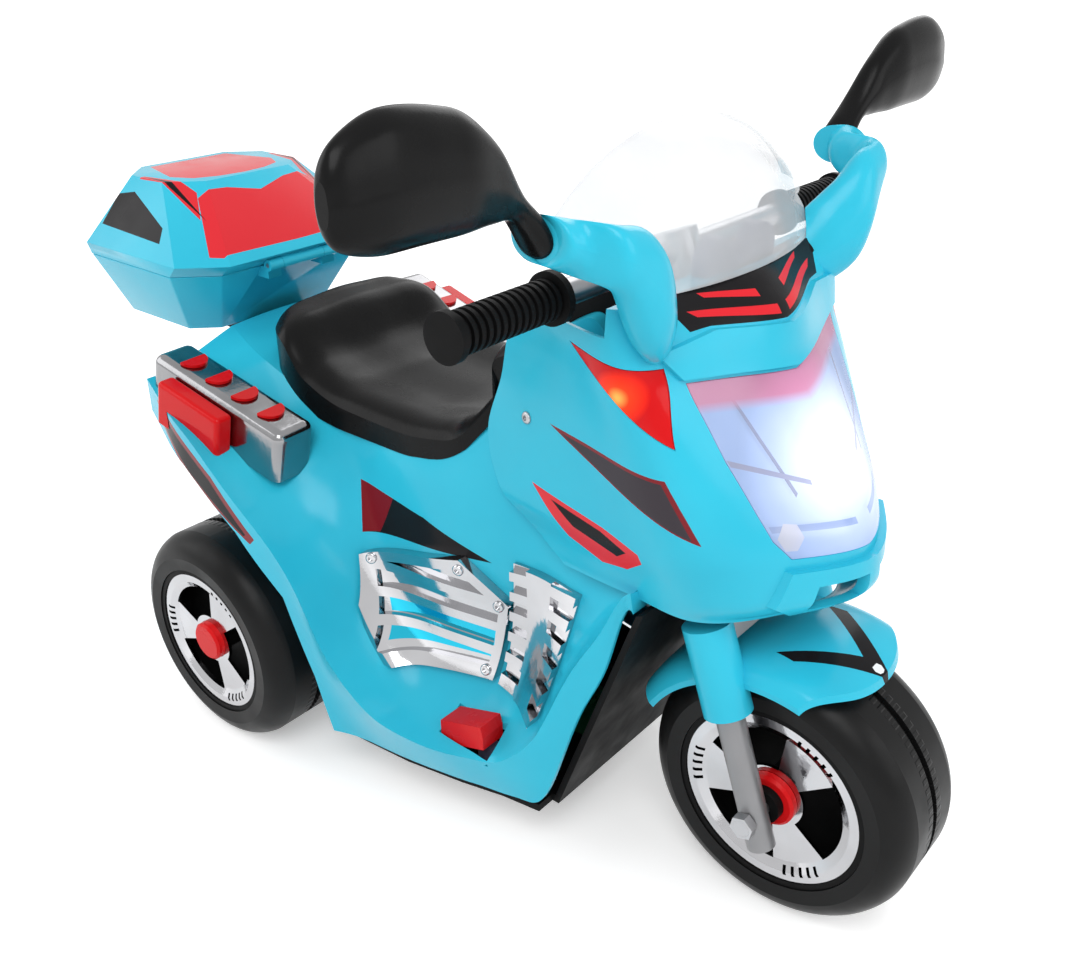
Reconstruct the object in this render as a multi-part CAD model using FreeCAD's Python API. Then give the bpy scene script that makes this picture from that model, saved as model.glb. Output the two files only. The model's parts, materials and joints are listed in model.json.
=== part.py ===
import FreeCAD
import Part
import math
import os

from FreeCAD import Placement, Rotation, Vector

# Overall sizes, in millimetres. X points forward, Y to the rider's left and Z up.
overall_length = 804.0
wheelbase = 470.0
front_tyre_radius = 101.0
rear_tyre_radius = 96.0
tyre_width = 90.0
rear_track = 262.0
front_axle_x = overall_length / 2 - front_tyre_radius
rear_axle_x = front_axle_x - wheelbase
rear_wheel_y = rear_track / 2

# Fits shared by many pieces.
seat_gap = 0.4
touch_gap = 0.3
running_clearance = 0.08
wall = 4.0
thin_wall = 3.0
cut_margin = 40.0

# Main shell: half sections from rear to front. Each row is x and then y, z of five points:
# the top edge, the wall, the wall's foot, the outer edge and the skirt.
shell_points = [
    (-236.0, 62.0, 336.0, 92.0, 326.0, 118.0, 318.0, 150.0, 314.0, 152.0, 52.0),
    (-170.0, 80.0, 326.0, 102.0, 312.0, 130.0, 301.0, 168.0, 296.0, 170.0, 52.0),
    (-105.0, 86.0, 312.0, 101.0, 286.0, 128.0, 264.0, 173.0, 257.0, 170.0, 52.0),
    (-50.0, 88.0, 306.0, 96.0, 258.0, 118.0, 222.0, 170.0, 208.0, 154.0, 52.0),
    (-15.0, 88.0, 306.0, 94.0, 232.0, 110.0, 152.0, 163.0, 132.0, 142.0, 52.0),
    (30.0, 86.0, 308.0, 92.0, 216.0, 102.0, 116.0, 156.0, 97.0, 136.0, 52.0),
    (80.0, 76.0, 344.0, 86.0, 236.0, 98.0, 110.0, 142.0, 88.0, 126.0, 52.0),
    (115.0, 60.0, 402.0, 79.0, 262.0, 96.0, 122.0, 130.0, 90.0, 117.0, 52.0),
    (148.0, 50.0, 420.0, 70.0, 290.0, 92.0, 170.0, 122.0, 118.0, 112.0, 58.0),
    (180.0, 46.0, 352.0, 64.0, 292.0, 80.0, 224.0, 112.0, 192.0, 103.0, 148.0),
    (216.0, 42.0, 290.0, 58.0, 278.0, 70.0, 266.0, 96.0, 262.0, 92.0, 244.0),
]
shell_crown = 3.0
wheel_bay_y = 78.0
wheel_bay_points = [
    (-330.0, 20.0),
    (-330.0, 294.0),
    (-236.0, 286.0),
    (-170.0, 262.0),
    (-105.0, 226.0),
    (-60.0, 182.0),
    (-44.0, 110.0),
    (-36.0, 20.0),
]
tail_cut_points = [(-330.0, 20.0), (-330.0, 300.0), (-252.0, 292.0), (-226.0, 20.0)]

# Chassis floor and the black wall behind the front wheel.
floor_bottom = 45.0
floor_top = 51.6
floor_points = [
    (-222.0, 70.0),
    (-34.0, 70.0),
    (-30.0, 138.0),
    (30.0, 132.0),
    (80.0, 122.0),
    (115.0, 113.0),
    (147.0, 108.0),
]
front_wall_points = [
    (147.0, 45.0),
    (153.0, 45.0),
    (224.0, 246.0),
    (218.0, 243.0),
    (150.0, 51.6),
    (147.0, 51.6),
]
front_wall_half = 92.0
upright_thickness = 6.0
upright_half = 20.0
upright_top = 116.0

# Fairing: level z, nose x, then x, y of the cheek, the shoulder and the rear edge.
fairing_points = [
    (252.0, 312.0, 296.0, 42.0, 252.0, 86.0, 150.0, 82.0),
    (272.0, 332.0, 315.0, 44.0, 262.0, 93.0, 128.0, 84.0),
    (300.0, 330.0, 312.0, 50.0, 262.0, 101.0, 100.0, 91.0),
    (340.0, 308.0, 292.0, 57.0, 252.0, 109.0, 88.0, 88.0),
    (380.0, 283.0, 268.0, 63.0, 238.0, 115.0, 98.0, 84.0),
    (410.0, 264.0, 250.0, 68.0, 225.0, 119.0, 106.0, 86.0),
    (434.0, 258.0, 242.0, 66.0, 217.0, 122.0, 122.0, 94.0),
    (458.0, 236.0, 226.0, 62.0, 211.0, 121.0, 136.0, 100.0),
]
loft_steps = 28
oval_steps = 14
shoulder_inset_shares = (0.5, 0.9)
cheek_inset_shares = (0.85, 0.5)
fairing_side_shares = ((0.33, 0.12), (0.68, 0.14))
bar_slot_front = 211.0
bar_slot_bottom = 441.0
headlight_points = [
    (0.0, 401.0),
    (46.0, 407.0),
    (88.0, 412.0),
    (80.0, 366.0),
    (67.0, 317.0),
    (58.0, 304.0),
    (0.0, 298.0),
]
headlight_depth = (200.0, 360.0)
lens_gap = 0.5
indicator_points = [(180.0, 431.0), (237.0, 423.0), (251.0, 377.0)]
indicator_depth = (84.0, 150.0)
visor_points = [(0.0, 404.0), (46.0, 410.0), (92.0, 415.0), (106.0, 432.0), (60.0, 437.0), (0.0, 430.0)]
visor_rise = 4.0
chin_points = [(0.0, 257.0), (50.0, 259.0), (68.0, 272.0), (62.0, 297.0), (0.0, 292.0)]
chin_rise = 5.0
vent_points = [(7.0, 264.0), (48.0, 267.0), (45.0, 284.0), (7.0, 282.0)]
vent_depth = (285.0, 350.0)

# Arms of the mirrors: x, y, z and then the half sizes along x and z.
arm_points = [
    (212.0, 78.0, 440.0, 14.0, 14.0),
    (226.0, 98.0, 452.0, 17.0, 30.0),
    (237.0, 120.0, 470.0, 16.0, 34.0),
    (236.0, 144.0, 494.5, 12.0, 18.5),
    (197.0, 165.0, 504.0, 16.0, 13.0),
]
mirror_points = [
    (197.0, 165.3, 504.0, 13.0, 10.5),
    (199.0, 184.0, 525.0, 10.0, 10.0),
    (203.0, 203.0, 540.0, 11.0, 20.0),
    (205.0, 232.0, 549.0, 14.0, 29.0),
    (206.0, 270.0, 552.0, 14.0, 31.0),
    (206.0, 298.0, 550.0, 10.0, 24.0),
    (206.0, 308.0, 548.0, 4.0, 10.0),
]
mirror_flat_x = 198.0
mirror_flat_y = 208.0
mirror_glass = 1.5

# Windscreen: a slice of an egg shape.
screen_centre = (150.0, 0.0, 440.0)
screen_half_sizes = (88.0, 160.0, 107.0)
screen_wall = 2.4
screen_rear_x = 174.0
screen_low_z = 486.0
screen_low_x = 216.0
gauge_radius = 16.0
gauge_y = 24.0
gauge_x = (213.0, 224.0)
gauge_z = 464.0

# Headlight reflector and bulbs.
reflector_depth = 24.0
reflector_lap = 3.0
bulb_radius = 8.0
bulb_gap = 3.0
bulb_y = 32.0
bulb_z = 356.0
bulb_x = (252.0, 266.0)
bowl_x = (262.0, 300.0)
bowl_radius = 38.0

# Seat: x, half width, lower z, side z and the rise of the middle.
seat_points = [
    (-176.0, 46.0, 316.0, 348.0, 5.0),
    (-162.0, 70.0, 314.0, 362.0, 8.0),
    (-140.0, 84.0, 306.0, 358.0, 8.0),
    (-108.0, 90.0, 300.0, 334.0, 3.0),
    (-60.0, 92.0, 296.0, 322.0, 1.0),
    (0.0, 92.0, 296.0, 320.0, 1.0),
    (48.0, 89.0, 304.0, 326.0, 2.0),
    (78.0, 84.0, 332.0, 352.0, 3.0),
    (98.0, 76.0, 366.0, 398.0, 4.0),
]

seat_round = 7.0
seat_rise_share = 0.8

# Engine trims: side outlines and how far they stand out.
crankcase_points = [(-32.0, 206.0), (62.0, 229.0), (100.0, 198.0), (90.0, 132.0), (-14.0, 120.0)]
crankcase_inner_shares = (0.86, 0.80)
cylinder_points = [(104.0, 236.0), (162.0, 230.0), (150.0, 136.0), (96.0, 128.0)]
crankcase_bar_shares = (0.32, 0.52, 0.72)
bar_half_height = 4.0
trim_plate = 3.5
trim_relief = 9.0
trim_inner_y = 70.0
trim_outer_y = 124.0
fin_count = 6
fin_share = 0.45
fin_lift_share = 0.25
cylinder_half = 11.0

# Tail lights on the wings.
tail_front = (-78.0, 122.0, 303.0)
tail_rear = (-222.0, 132.0, 340.0)
tail_width = 38.0
tail_sink = 44.0
tail_round = 8.0
tail_lens_shares = (0.18, 0.66)
tail_lens_width = 16.0
tail_lens_drop = 6.0
tail_lens_round = 4.0
moon_radius = 12.0
moon_height = 2.5
moon_count = 4
moon_start_share = 0.18
moon_step_share = 0.2

# Rack and top box: outlines as x and half width, cut across at the corners.
rack_points = [
    (-236.4, 296.0),
    (-236.4, 331.0),
    (-250.0, 327.6),
    (-372.0, 327.6),
    (-372.0, 319.0),
    (-266.0, 317.0),
]
rack_half = 34.0
rack_slot_half = 20.0
box_bottom_z = 328.0
box_rim_z = 386.0
lid_rim_z = 386.4
lid_lip_z = 397.0
lid_top_z = 452.0
box_bottom_outline = (-386.0, -258.0, 78.0, 20.0)
box_rim_outline = (-400.0, -220.0, 106.0, 30.0)
lid_lip_outline = (-402.0, -204.0, 109.0, 32.0)
lid_top_outline = (-370.0, -272.0, 70.0, 26.0)
hinge_x = -211.0
hinge_z = 387.5
knuckle_radius = 5.0
pin_radius = 2.0
lid_knuckle_half = 22.0
base_knuckle_y = (22.4, 36.0)
knuckle_web = 10.0
base_web_depth = 19.0
lid_web_depth = 11.0
lid_web_drop = 1.0
knuckle_room = 0.4

# Steering: lengths along the raked steering axis from the front axle.
rake_angle = 19.0
axle_radius = 6.0
fork_y = 62.0
leg_radius = 10.0
leg_span = (-24.0, 143.7)
cover_radius = 17.0
cover_span = (80.0, 145.0)
cover_room = 4.0
crown_span = (129.7, 143.7)
crown_half = 13.0
stem_radius = 9.0
stem_top = 366.0
bar_height = 379.0
bar_radius = 8.0
bar_half = 212.0
clamp_radius = 15.0
clamp_span = (350.0, 392.0)
grip_radius = 12.5
grip_core = 10.5
grip_flange = 16.0
grip_end_radius = 14.5
grip_collar = 5.0
grip_span = (126.0, 215.0)
grip_rib_count = 14
head_span = (146.0, 334.0)
head_radius = 17.0
head_bore = 12.3
bush_length = 16.0
bush_flange = 15.5
bush_flange_height = 2.0
head_fin_half = 7.0
head_fin_span = (200.0, 310.0)
head_fin_reach = 90.0
fender_points = [(103.0, 61.0), (112.0, 54.0), (117.5, 33.0), (119.0, 0.0)]
fender_wall = 4.0
fender_rear_angle = 42.0
fender_front_angle = 52.0
beak_points = [(-140.0, 70.0), (20.0, 70.0), (52.0, 62.0), (72.0, 44.0), (82.0, 20.0), (84.0, 0.0)]
front_nut_radius = 9.0
front_nut_height = 7.0

# Wheels, along the wheel's own axis with the outer face at the low end.
tyre_wall = 5.0
groove_half = 3.0
groove_depth = 4.0
tread_half = 26.0
shoulder_half = 38.0
shoulder_drop = 6.0
side_drop = 18.0
bead_width = 6.0
bead_set = 1.0
rim_drop = 29.0
barrel_half = 43.0
barrel_wall = 4.0
web_half = 3.0
web_offset = 14.0
hub_radius = 13.0
hub_end = 34.0
front_hub_end = 51.6
cover_ring = 7.0
cover_face = 42.0
cover_dish = 38.0
cover_wall = 3.0
window_radius_shares = (0.36, 0.80)
window_angle = 37.0
spoke_count = 3
slot_radius_shares = (0.83, 0.93)
slot_width = 2.6
slot_count = 5
slot_step_angle = 6.5
cap_radius = 17.0
cap_wall = 2.0
cap_face = 45.0
front_cap_radius = 20.0
rear_nut_radius = 10.0
rear_nut_height = 5.0

# Gear train from the motor to the right rear wheel.
gear_module = 1.5
pinion_teeth = 12
wheel_teeth = 48
gear_backlash = 0.35
gear_spread = 0.1
train_angle = 62.0
output_gear_y = (-62.0, -54.0)
small_gear_y = (-63.0, -53.0)
large_gear_y = (-51.5, -45.0)
pinion_y = (-52.0, -44.0)
gearbox_y = (-67.0, -41.0)
gearbox_wall = 2.5
gearbox_margin = 4.0
gear_pin_radius = 3.0
motor_shaft_radius = 1.6
motor_radius = 18.0
motor_length = 56.0
sleeve_radius = 11.0
dog_length = 6.0
pressure_angle = 20.0
addendum_share = 0.9
dedendum_share = 1.25
flank_steps = 3
gear_hub_radius = 6.0
motor_gap = 0.4
shaft_depth = 12.0
motor_boss = 6.0

# Electric pieces on the floor.
battery_size = (92.0, 70.0, 96.0)
battery_x = -26.0
terminal_inset = 14.0
terminal_height = 5.0
terminal_radius = 3.0
chip_shares = (-0.3, 0.05)
chip_length_shares = (0.33, 0.5)
chip_width_share = 0.2
chip_height = 3.0
board_size = (54.0, 60.0, 1.6)
board_x = 82.0
board_lift = 6.0
speaker_radius = 26.0
speaker_height = 20.0
speaker_place = (108.0, 62.0)
socket_radius = 7.0
socket_length = 16.0
socket_place = (4.0, 72.0)
socket_wall = 2.0
socket_pin_radius = 1.2

# Pedal on the right deck.
pedal_points = [(66.0, 103.0), (108.0, 117.0), (110.0, 108.0), (78.0, 94.0), (76.0, 79.0), (66.0, 79.0)]
pedal_skirt_points = [(78.0, 94.0), (110.0, 108.0), (110.0, 97.0), (78.0, 86.0)]
pedal_skirt_wall = 2.4
pedal_y = (-128.0, -106.0)
pedal_gap = 1.2
pedal_swing = 4.5
pedal_pin = (71.0, 84.0)
pedal_pin_radius = 2.5
bracket_thickness = 3.0
bracket_x = (64.0, 78.0)
microswitch_x = (92.0, 106.0)
microswitch_y = (-115.0, -105.0)
microswitch_z = 88.0
plunger_radius = 3.0
plunger_z = 92.5

# Dash panel on the neck with two rockers and two buttons.
dash_points = [(114.0, 392.0), (160.0, 392.0), (160.0, 440.0), (114.0, 420.0)]
dash_half = 40.0
dash_well = 9.0
rocker_size = (20.0, 12.0, 10.0)
rocker_y = 26.0
button_radius = 6.0
button_height = 9.0
button_y = 8.5
switch_gap = 0.5
rocker_gap = 1.4
rocker_dip = 1.5
rocker_notch_share = 0.25
button_rise = 3.0
rocker_rise = 3.0

# Screws.
screw_radius = 3.5
screw_head = 2.0
screw_places = [(-90.0, 55.0), (40.0, 100.0), (120.0, 90.0)]


def pt(x, y, z):
    return Vector(x, y, z)


def closed_face(points):
    return Part.Face(Part.makePolygon(points + points[:1]))


def block(x_span, y_span, z_span):
    corner = pt(x_span[0], y_span[0], z_span[0])
    return Part.makeBox(x_span[1] - x_span[0], y_span[1] - y_span[0], z_span[1] - z_span[0], corner)


def side_prism(outline, y_span):
    base = closed_face([pt(x, y_span[0], z) for x, z in outline])
    return base.extrude(pt(0, y_span[1] - y_span[0], 0))


def plan_prism(outline, z_span):
    base = closed_face([pt(x, y, z_span[0]) for x, y in outline])
    return base.extrude(pt(0, 0, z_span[1] - z_span[0]))


def front_prism(outline, x_span, inset):
    base = closed_face([pt(x_span[0], y, z) for y, z in outline])
    if inset:
        base = base.makeOffset2D(-inset)
    return base.extrude(pt(x_span[1] - x_span[0], 0, 0))


def rod(start, end, radius):
    line = end - start
    return Part.makeCylinder(radius, line.Length, start, line)


def side_rod(x, z, y_span, radius):
    return rod(pt(x, y_span[0], z), pt(x, y_span[1], z), radius)


def pipe(start, end, outer, inner):
    return rod(start, end, outer).cut(rod(start, end, inner))


def hexagon_nut(centre, direction, radius, height):
    nut = closed_face([
        pt(radius * math.cos(math.radians(60 * i)), radius * math.sin(math.radians(60 * i)), 0)
        for i in range(6)
    ]).extrude(pt(0, 0, height))
    nut.Placement = Placement(centre, Rotation(pt(0, 0, 1), direction))
    return nut


def mirrored(shape):
    return shape.mirror(pt(0, 0, 0), pt(0, 1, 0))


def both_sides(shape):
    return Part.makeCompound([shape, mirrored(shape)])


def smooth_edge(points):
    curve = Part.BSplineCurve()
    curve.interpolate(points)
    return curve.toShape()


def ellipse_wire(x, y, z, half_x, half_z):
    points = []
    for i in range(12):
        turn = math.radians(30 * i)
        points.append(pt(x + half_x * math.cos(turn), y, z + half_z * math.sin(turn)))
    curve = Part.BSplineCurve()
    curve.interpolate(points, PeriodicFlag=True)
    return Part.Wire([curve.toShape()])


def both_halves(half):
    return half + [(-y, z) for y, z in reversed(half) if y > 0]


def largest(shape):
    return max(shape.Solids, key=lambda solid: solid.Volume)


def save(name, shape):
    shape.exportStep("parts/" + name + ".step")


# Smooth tables: rows are filled in between without overshooting.

def steady_rates(keys, values):
    steps = [b - a for a, b in zip(keys, keys[1:])]
    grades = [(b - a) / step for a, b, step in zip(values, values[1:], steps)]
    rates = [grades[0]]
    for i in range(1, len(grades)):
        before, after = grades[i - 1], grades[i]
        if before * after <= 0:
            rates.append(0)
        else:
            first = 2 * steps[i] + steps[i - 1]
            second = steps[i] + 2 * steps[i - 1]
            rates.append((first + second) / (first / before + second / after))
    rates.append(grades[-1])
    return rates


def steady_value(keys, values, rates, key):
    i = 0
    while i < len(keys) - 2 and key > keys[i + 1]:
        i += 1
    step = keys[i + 1] - keys[i]
    t = (key - keys[i]) / step
    low = (1 + 2 * t) * (1 - t) ** 2 * values[i] + t * (1 - t) ** 2 * step * rates[i]
    high = t * t * (3 - 2 * t) * values[i + 1] + t * t * (t - 1) * step * rates[i + 1]
    return low + high


def dense_rows(rows, steps):
    keys = [row[0] for row in rows]
    columns = [[row[i] for row in rows] for i in range(1, len(rows[0]))]
    rates = [steady_rates(keys, column) for column in columns]
    filled = []
    for i in range(steps + 1):
        key = keys[0] + (keys[-1] - keys[0]) * i / steps
        values = [steady_value(keys, c, r, key) for c, r in zip(columns, rates)]
        filled.append([key] + values)
    return filled


# Main shell and chassis.

def shell_wire(row, inset):
    x, top_y, top_z, side_y, side_z, foot_y, foot_z, edge_y, edge_z, skirt_y, skirt_z = row
    slant = inset * math.sqrt(0.5)
    corners = [
        (top_y - inset, top_z - inset),
        (side_y - inset, side_z - slant / 2),
        (foot_y - slant, foot_z - slant),
        (edge_y - inset, edge_z - inset),
        (skirt_y - inset, skirt_z - max(inset, 0)),
    ]
    left = [pt(x, y, z) for y, z in corners]
    right = [pt(x, -y, z) for y, z in corners]
    crown = pt(x, 0, top_z + shell_crown - inset)
    edges = [
        smooth_edge([right[0], crown, left[0]]),
        smooth_edge(left[:4]),
        Part.makeLine(left[3], left[4]),
        Part.makeLine(left[4], right[4]),
        Part.makeLine(right[4], right[3]),
        smooth_edge(right[3::-1]),
    ]
    return Part.Wire(edges)


def shell_form(inset):
    return Part.makeLoft([shell_wire(row, inset) for row in dense_rows(shell_points, loft_steps)], True)


def wheel_bays(grow):
    far = rear_track
    bay = side_prism(wheel_bay_points, (wheel_bay_y - grow, far))
    if grow:
        bay = bay.fuse([bay.translated(pt(0, 0, grow)), bay.translated(pt(grow, 0, 0))])
    tail = side_prism(tail_cut_points, (-far, far)).translated(pt(grow, 0, grow / 2))
    return bay.fuse([mirrored(bay), tail])


def rear_axle_line(start_y, end_y, radius):
    return side_rod(rear_axle_x, rear_tyre_radius, (start_y, end_y), radius)


def make_main_shell(outer):
    span = (-overall_length, overall_length)
    ends = (shell_points[0][0] + wall, shell_points[-1][0] - wall)
    inner = shell_form(wall).common(block(ends, span, span)).cut(wheel_bays(wall))
    shell = outer.cut(wheel_bays(0)).cut(inner)
    shell = shell.cut(rear_axle_line(-rear_wheel_y, 0, sleeve_radius + touch_gap))
    shell = shell.cut(rear_axle_line(0, rear_wheel_y, axle_radius + touch_gap))
    pocket = block(
        (pedal_points[0][0] - pedal_gap, pedal_points[2][0] + pedal_swing),
        (pedal_y[0] - pedal_gap, pedal_y[1] + pedal_gap),
        (pedal_pin[1], pedal_points[1][1] + cut_margin),
    )
    socket = side_rod(socket_place[0], socket_place[1], (0, rear_track), socket_radius)
    return shell.cut(pocket).cut(socket)


def make_chassis():
    outline = floor_points + [(x, -y) for x, y in reversed(floor_points)]
    floor = plan_prism(outline, (floor_bottom, floor_top))
    front = side_prism(front_wall_points, (-front_wall_half, front_wall_half))
    outside = wheel_bay_y - wall - seat_gap
    plate = block(
        (rear_axle_x - upright_half, rear_axle_x + upright_half),
        (outside - upright_thickness, outside),
        (floor_bottom, upright_top),
    )
    frame = floor.fuse([front, plate, mirrored(plate), make_pedal_bracket()]).removeSplitter()
    frame = frame.cut(floor_screws(screw_radius + touch_gap, screw_head + touch_gap * 2))
    frame = frame.cut(rear_axle_line(0, rear_wheel_y, axle_radius + touch_gap))
    return frame.cut(rear_axle_line(-rear_wheel_y, 0, sleeve_radius + touch_gap))


def floor_screws(radius, height):
    heads = []
    for x, y in screw_places:
        for side in (1, -1):
            foot = pt(x, side * y, floor_bottom)
            heads.append(rod(foot, foot + pt(0, 0, height), radius))
    return Part.makeCompound(heads)


def make_floor_screws():
    return floor_screws(screw_radius, screw_head).translated(pt(0, 0, touch_gap))


# Fairing with its lamps, gauges and windscreen.

def fairing_wire(row, inset, back):
    z, nose, cheek_x, cheek_y, shoulder_x, shoulder_y, rear_x, rear_y = row
    side_y = rear_y - inset
    front = (shoulder_x - inset * shoulder_inset_shares[0], shoulder_y - inset * shoulder_inset_shares[1])
    half = []
    if back:
        half.append((rear_x - back, side_y))
    half.append((rear_x, side_y))
    for share, lift_share in fairing_side_shares:
        x = rear_x + (front[0] - rear_x) * share
        half.append((x, side_y + (front[1] - side_y) * (share + lift_share)))
    half.append(front)
    half.append((cheek_x - inset * cheek_inset_shares[0], cheek_y - inset * cheek_inset_shares[1]))
    points = [pt(x, -y, z) for x, y in half]
    points.append(pt(nose - inset, 0, z))
    points += [pt(x, y, z) for x, y in reversed(half)]
    return Part.Wire([smooth_edge(points), Part.makeLine(points[-1], points[0])])


def fairing_form(inset, back):
    rows = dense_rows(fairing_points, loft_steps)
    return Part.makeLoft([fairing_wire(row, inset, back) for row in rows], True)


def oval_loft(rows, side):
    filled = dense_rows([(y, x, z, a, b) for x, y, z, a, b in rows], oval_steps)
    return Part.makeLoft([ellipse_wire(x, side * y, z, a, b) for y, x, z, a, b in filled], True)


def fairing_skin(outer):
    low = fairing_points[0][0]
    top = fairing_points[-1][0]
    span = (-overall_length, overall_length)
    inner = fairing_form(thin_wall, cut_margin)
    skin = outer.cut(inner.common(block(span, span, (low, top - thin_wall))))
    return skin.cut(block((-overall_length, bar_slot_front), span, (bar_slot_bottom, overall_length)))


def raised_band(outline, rise):
    band = fairing_form(-rise, 0).common(front_prism(both_halves(outline), headlight_depth, 0))
    return band.cut(fairing_form(thin_wall, cut_margin))


def make_fairing(skin, shell_grown):
    arms = oval_loft(arm_points, 1).fuse(oval_loft(arm_points, -1)).cut(egg(seat_gap))
    bands = [raised_band(visor_points, visor_rise), raised_band(chin_points, chin_rise)]
    body = skin.cut(shell_grown).fuse(bands + [arms])
    openings = [front_prism(both_halves(headlight_points), headlight_depth, 0)]
    for side in (1, -1):
        openings.append(front_prism([(side * y, z) for y, z in vent_points], vent_depth, 0))
        depth = (side * indicator_depth[0], side * indicator_depth[1])
        openings.append(side_prism(indicator_points, depth))
    return largest(body.cut(openings))


def make_headlight_lens(skin):
    return largest(skin.common(front_prism(both_halves(headlight_points), headlight_depth, lens_gap)))


def make_reflector():
    outline = both_halves(headlight_points)
    front = fairing_form(thin_wall + touch_gap, 0)
    back = fairing_form(thin_wall + touch_gap + reflector_depth, cut_margin)
    slab = front.cut(back).common(front_prism(outline, headlight_depth, -reflector_lap))
    for side in (1, -1):
        cone = Part.makeCone(
            bulb_radius + bulb_gap,
            bowl_radius,
            bowl_x[1] - bowl_x[0],
            pt(bowl_x[0], side * bulb_y, bulb_z),
            pt(1, 0, 0),
        )
        hole_end = pt(bowl_x[1], side * bulb_y, bulb_z)
        hole = rod(pt(0, side * bulb_y, bulb_z), hole_end, bulb_radius + touch_gap)
        slab = slab.cut(cone).cut(hole)
    return largest(slab)


def make_bulbs():
    bulbs = []
    for side in (1, -1):
        tip = pt(bulb_x[1], side * bulb_y, bulb_z)
        stem = rod(pt(bulb_x[0], side * bulb_y, bulb_z), tip, bulb_radius)
        bulbs.append(stem.fuse(Part.makeSphere(bulb_radius, tip)).removeSplitter())
    return Part.makeCompound(bulbs)


def make_indicator(skin):
    outline = closed_face([pt(x, 0, z) for x, z in indicator_points]).makeOffset2D(-lens_gap)
    start, end = indicator_depth
    lamp = outline.translated(pt(0, -start, 0)).extrude(pt(0, start - end, 0))
    return largest(skin.common(lamp))


def egg(grow):
    base = screen_half_sizes[0] + grow
    stretch = FreeCAD.Matrix()
    stretch.scale(1, (screen_half_sizes[1] + grow) / base, (screen_half_sizes[2] + grow) / base)
    return Part.makeSphere(base).transformGeometry(stretch).translated(pt(*screen_centre))


def make_windscreen():
    span = (-overall_length, overall_length)
    top = fairing_points[-1][0] + touch_gap
    screen = egg(0).cut(egg(-screen_wall))
    screen = screen.common(block((screen_rear_x, overall_length), span, (top, overall_length)))
    return screen.cut(block((-overall_length, screen_low_x), span, (-overall_length, screen_low_z)))


def make_gauges():
    top = fairing_points[-1][0] + touch_gap
    span = (-overall_length, overall_length)
    pods = []
    for side in (1, -1):
        start = pt(gauge_x[0], side * gauge_y, gauge_z)
        pods.append(rod(start, pt(gauge_x[1], side * gauge_y, gauge_z), gauge_radius))
    base = block(gauge_x, (-gauge_y, gauge_y), (top, gauge_z))
    return pods[0].fuse([pods[1], base]).common(block(span, span, (top, overall_length))).removeSplitter()


def make_mirror():
    form = oval_loft(mirror_points, -1)
    y_span = (-overall_length, -mirror_flat_y)
    z_span = (0, overall_length)
    housing = form.cut(block((0, mirror_flat_x), y_span, z_span))
    front = mirror_flat_x - touch_gap
    glass = form.common(block((front - mirror_glass, front), y_span, z_span))
    return largest(housing), largest(glass)


# Seat, engine trims and tail lights.

def seat_wire(row):
    x, half, low, side, rise = row
    shoulder = half - seat_round
    left = [pt(x, half, low), pt(x, half, side - seat_round), pt(x, shoulder, side)]
    right = [pt(x, -p.y, p.z) for p in left]
    middle = [
        pt(x, shoulder / 2, side + rise * seat_rise_share),
        pt(x, 0, side + rise),
        pt(x, -shoulder / 2, side + rise * seat_rise_share),
    ]
    edges = [
        Part.makeLine(right[0], left[0]),
        Part.makeLine(left[0], left[1]),
        smooth_edge([left[1], left[2]] + middle + [right[2], right[1]]),
        Part.makeLine(right[1], right[0]),
    ]
    return Part.Wire(edges)


def make_seat(shell_grown):
    form = Part.makeLoft([seat_wire(row) for row in dense_rows(seat_points, loft_steps)], True)
    return largest(form.cut(shell_grown))


def shrunk(outline, shares):
    count = len(outline)
    mid_x = sum(x for x, z in outline) / count
    mid_z = sum(z for x, z in outline) / count
    return [(mid_x + (x - mid_x) * shares[0], mid_z + (z - mid_z) * shares[1]) for x, z in outline]


def trim_layer(shell_grown, height):
    xs = [x for x, z in crankcase_points + cylinder_points]
    zs = [z for x, z in crankcase_points + cylinder_points]
    zone = block((min(xs), max(xs)), (-trim_outer_y, -trim_inner_y), (min(zs), max(zs)))
    return shell_form(-height).common(zone).cut(shell_grown.common(zone))


def trim_prism(outline):
    return side_prism(outline, (-rear_track, -trim_inner_y))


def make_crankcase(plate, relief):
    full = trim_prism(crankcase_points)
    window = trim_prism(shrunk(crankcase_points, crankcase_inner_shares))
    low = min(z for x, z in crankcase_points)
    high = max(z for x, z in crankcase_points)
    raised = [full.cut(window)]
    for share in crankcase_bar_shares:
        mid = low + (high - low) * share
        span = (mid - bar_half_height, mid + bar_half_height)
        strip = block((-overall_length, overall_length), (-rear_track, -trim_inner_y), span)
        raised.append(strip.common(full))
    raised = raised[0].fuse(raised[1:])
    return largest(plate.common(full).fuse(relief.common(raised)))


def make_cylinder(plate, relief):
    full = trim_prism(cylinder_points)
    low = cylinder_points[-1][1]
    pitch = (cylinder_points[0][1] - low) / fin_count
    x_mid = sum(x for x, z in cylinder_points) / len(cylinder_points)
    side = (-rear_track, -trim_inner_y)
    raised = [block((x_mid - cylinder_half, x_mid + cylinder_half), side, (0, overall_length))]
    for i in range(fin_count):
        z = low + pitch * (i + fin_lift_share)
        raised.append(block((0, overall_length), side, (z, z + pitch * fin_share)))
    raised = raised[0].fuse(raised[1:]).common(full)
    return largest(plate.common(full).fuse(relief.common(raised)))


def tail_place():
    rear = pt(*tail_rear)
    line = pt(*tail_front) - rear
    return Placement(rear, Rotation(pt(1, 0, 0), line)), line.Length


def upper_edges(shape):
    return [e for e in shape.Edges if max(v.Z for v in e.Vertexes) > -tail_sink / 2]


def make_tail_housing(shell_grown):
    place, length = tail_place()
    body = block((0, length), (-tail_width / 2, tail_width / 2), (-tail_sink, 0))
    body = body.makeFillet(tail_round, upper_edges(body))
    body.Placement = place
    return largest(body.cut(shell_grown))


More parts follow.
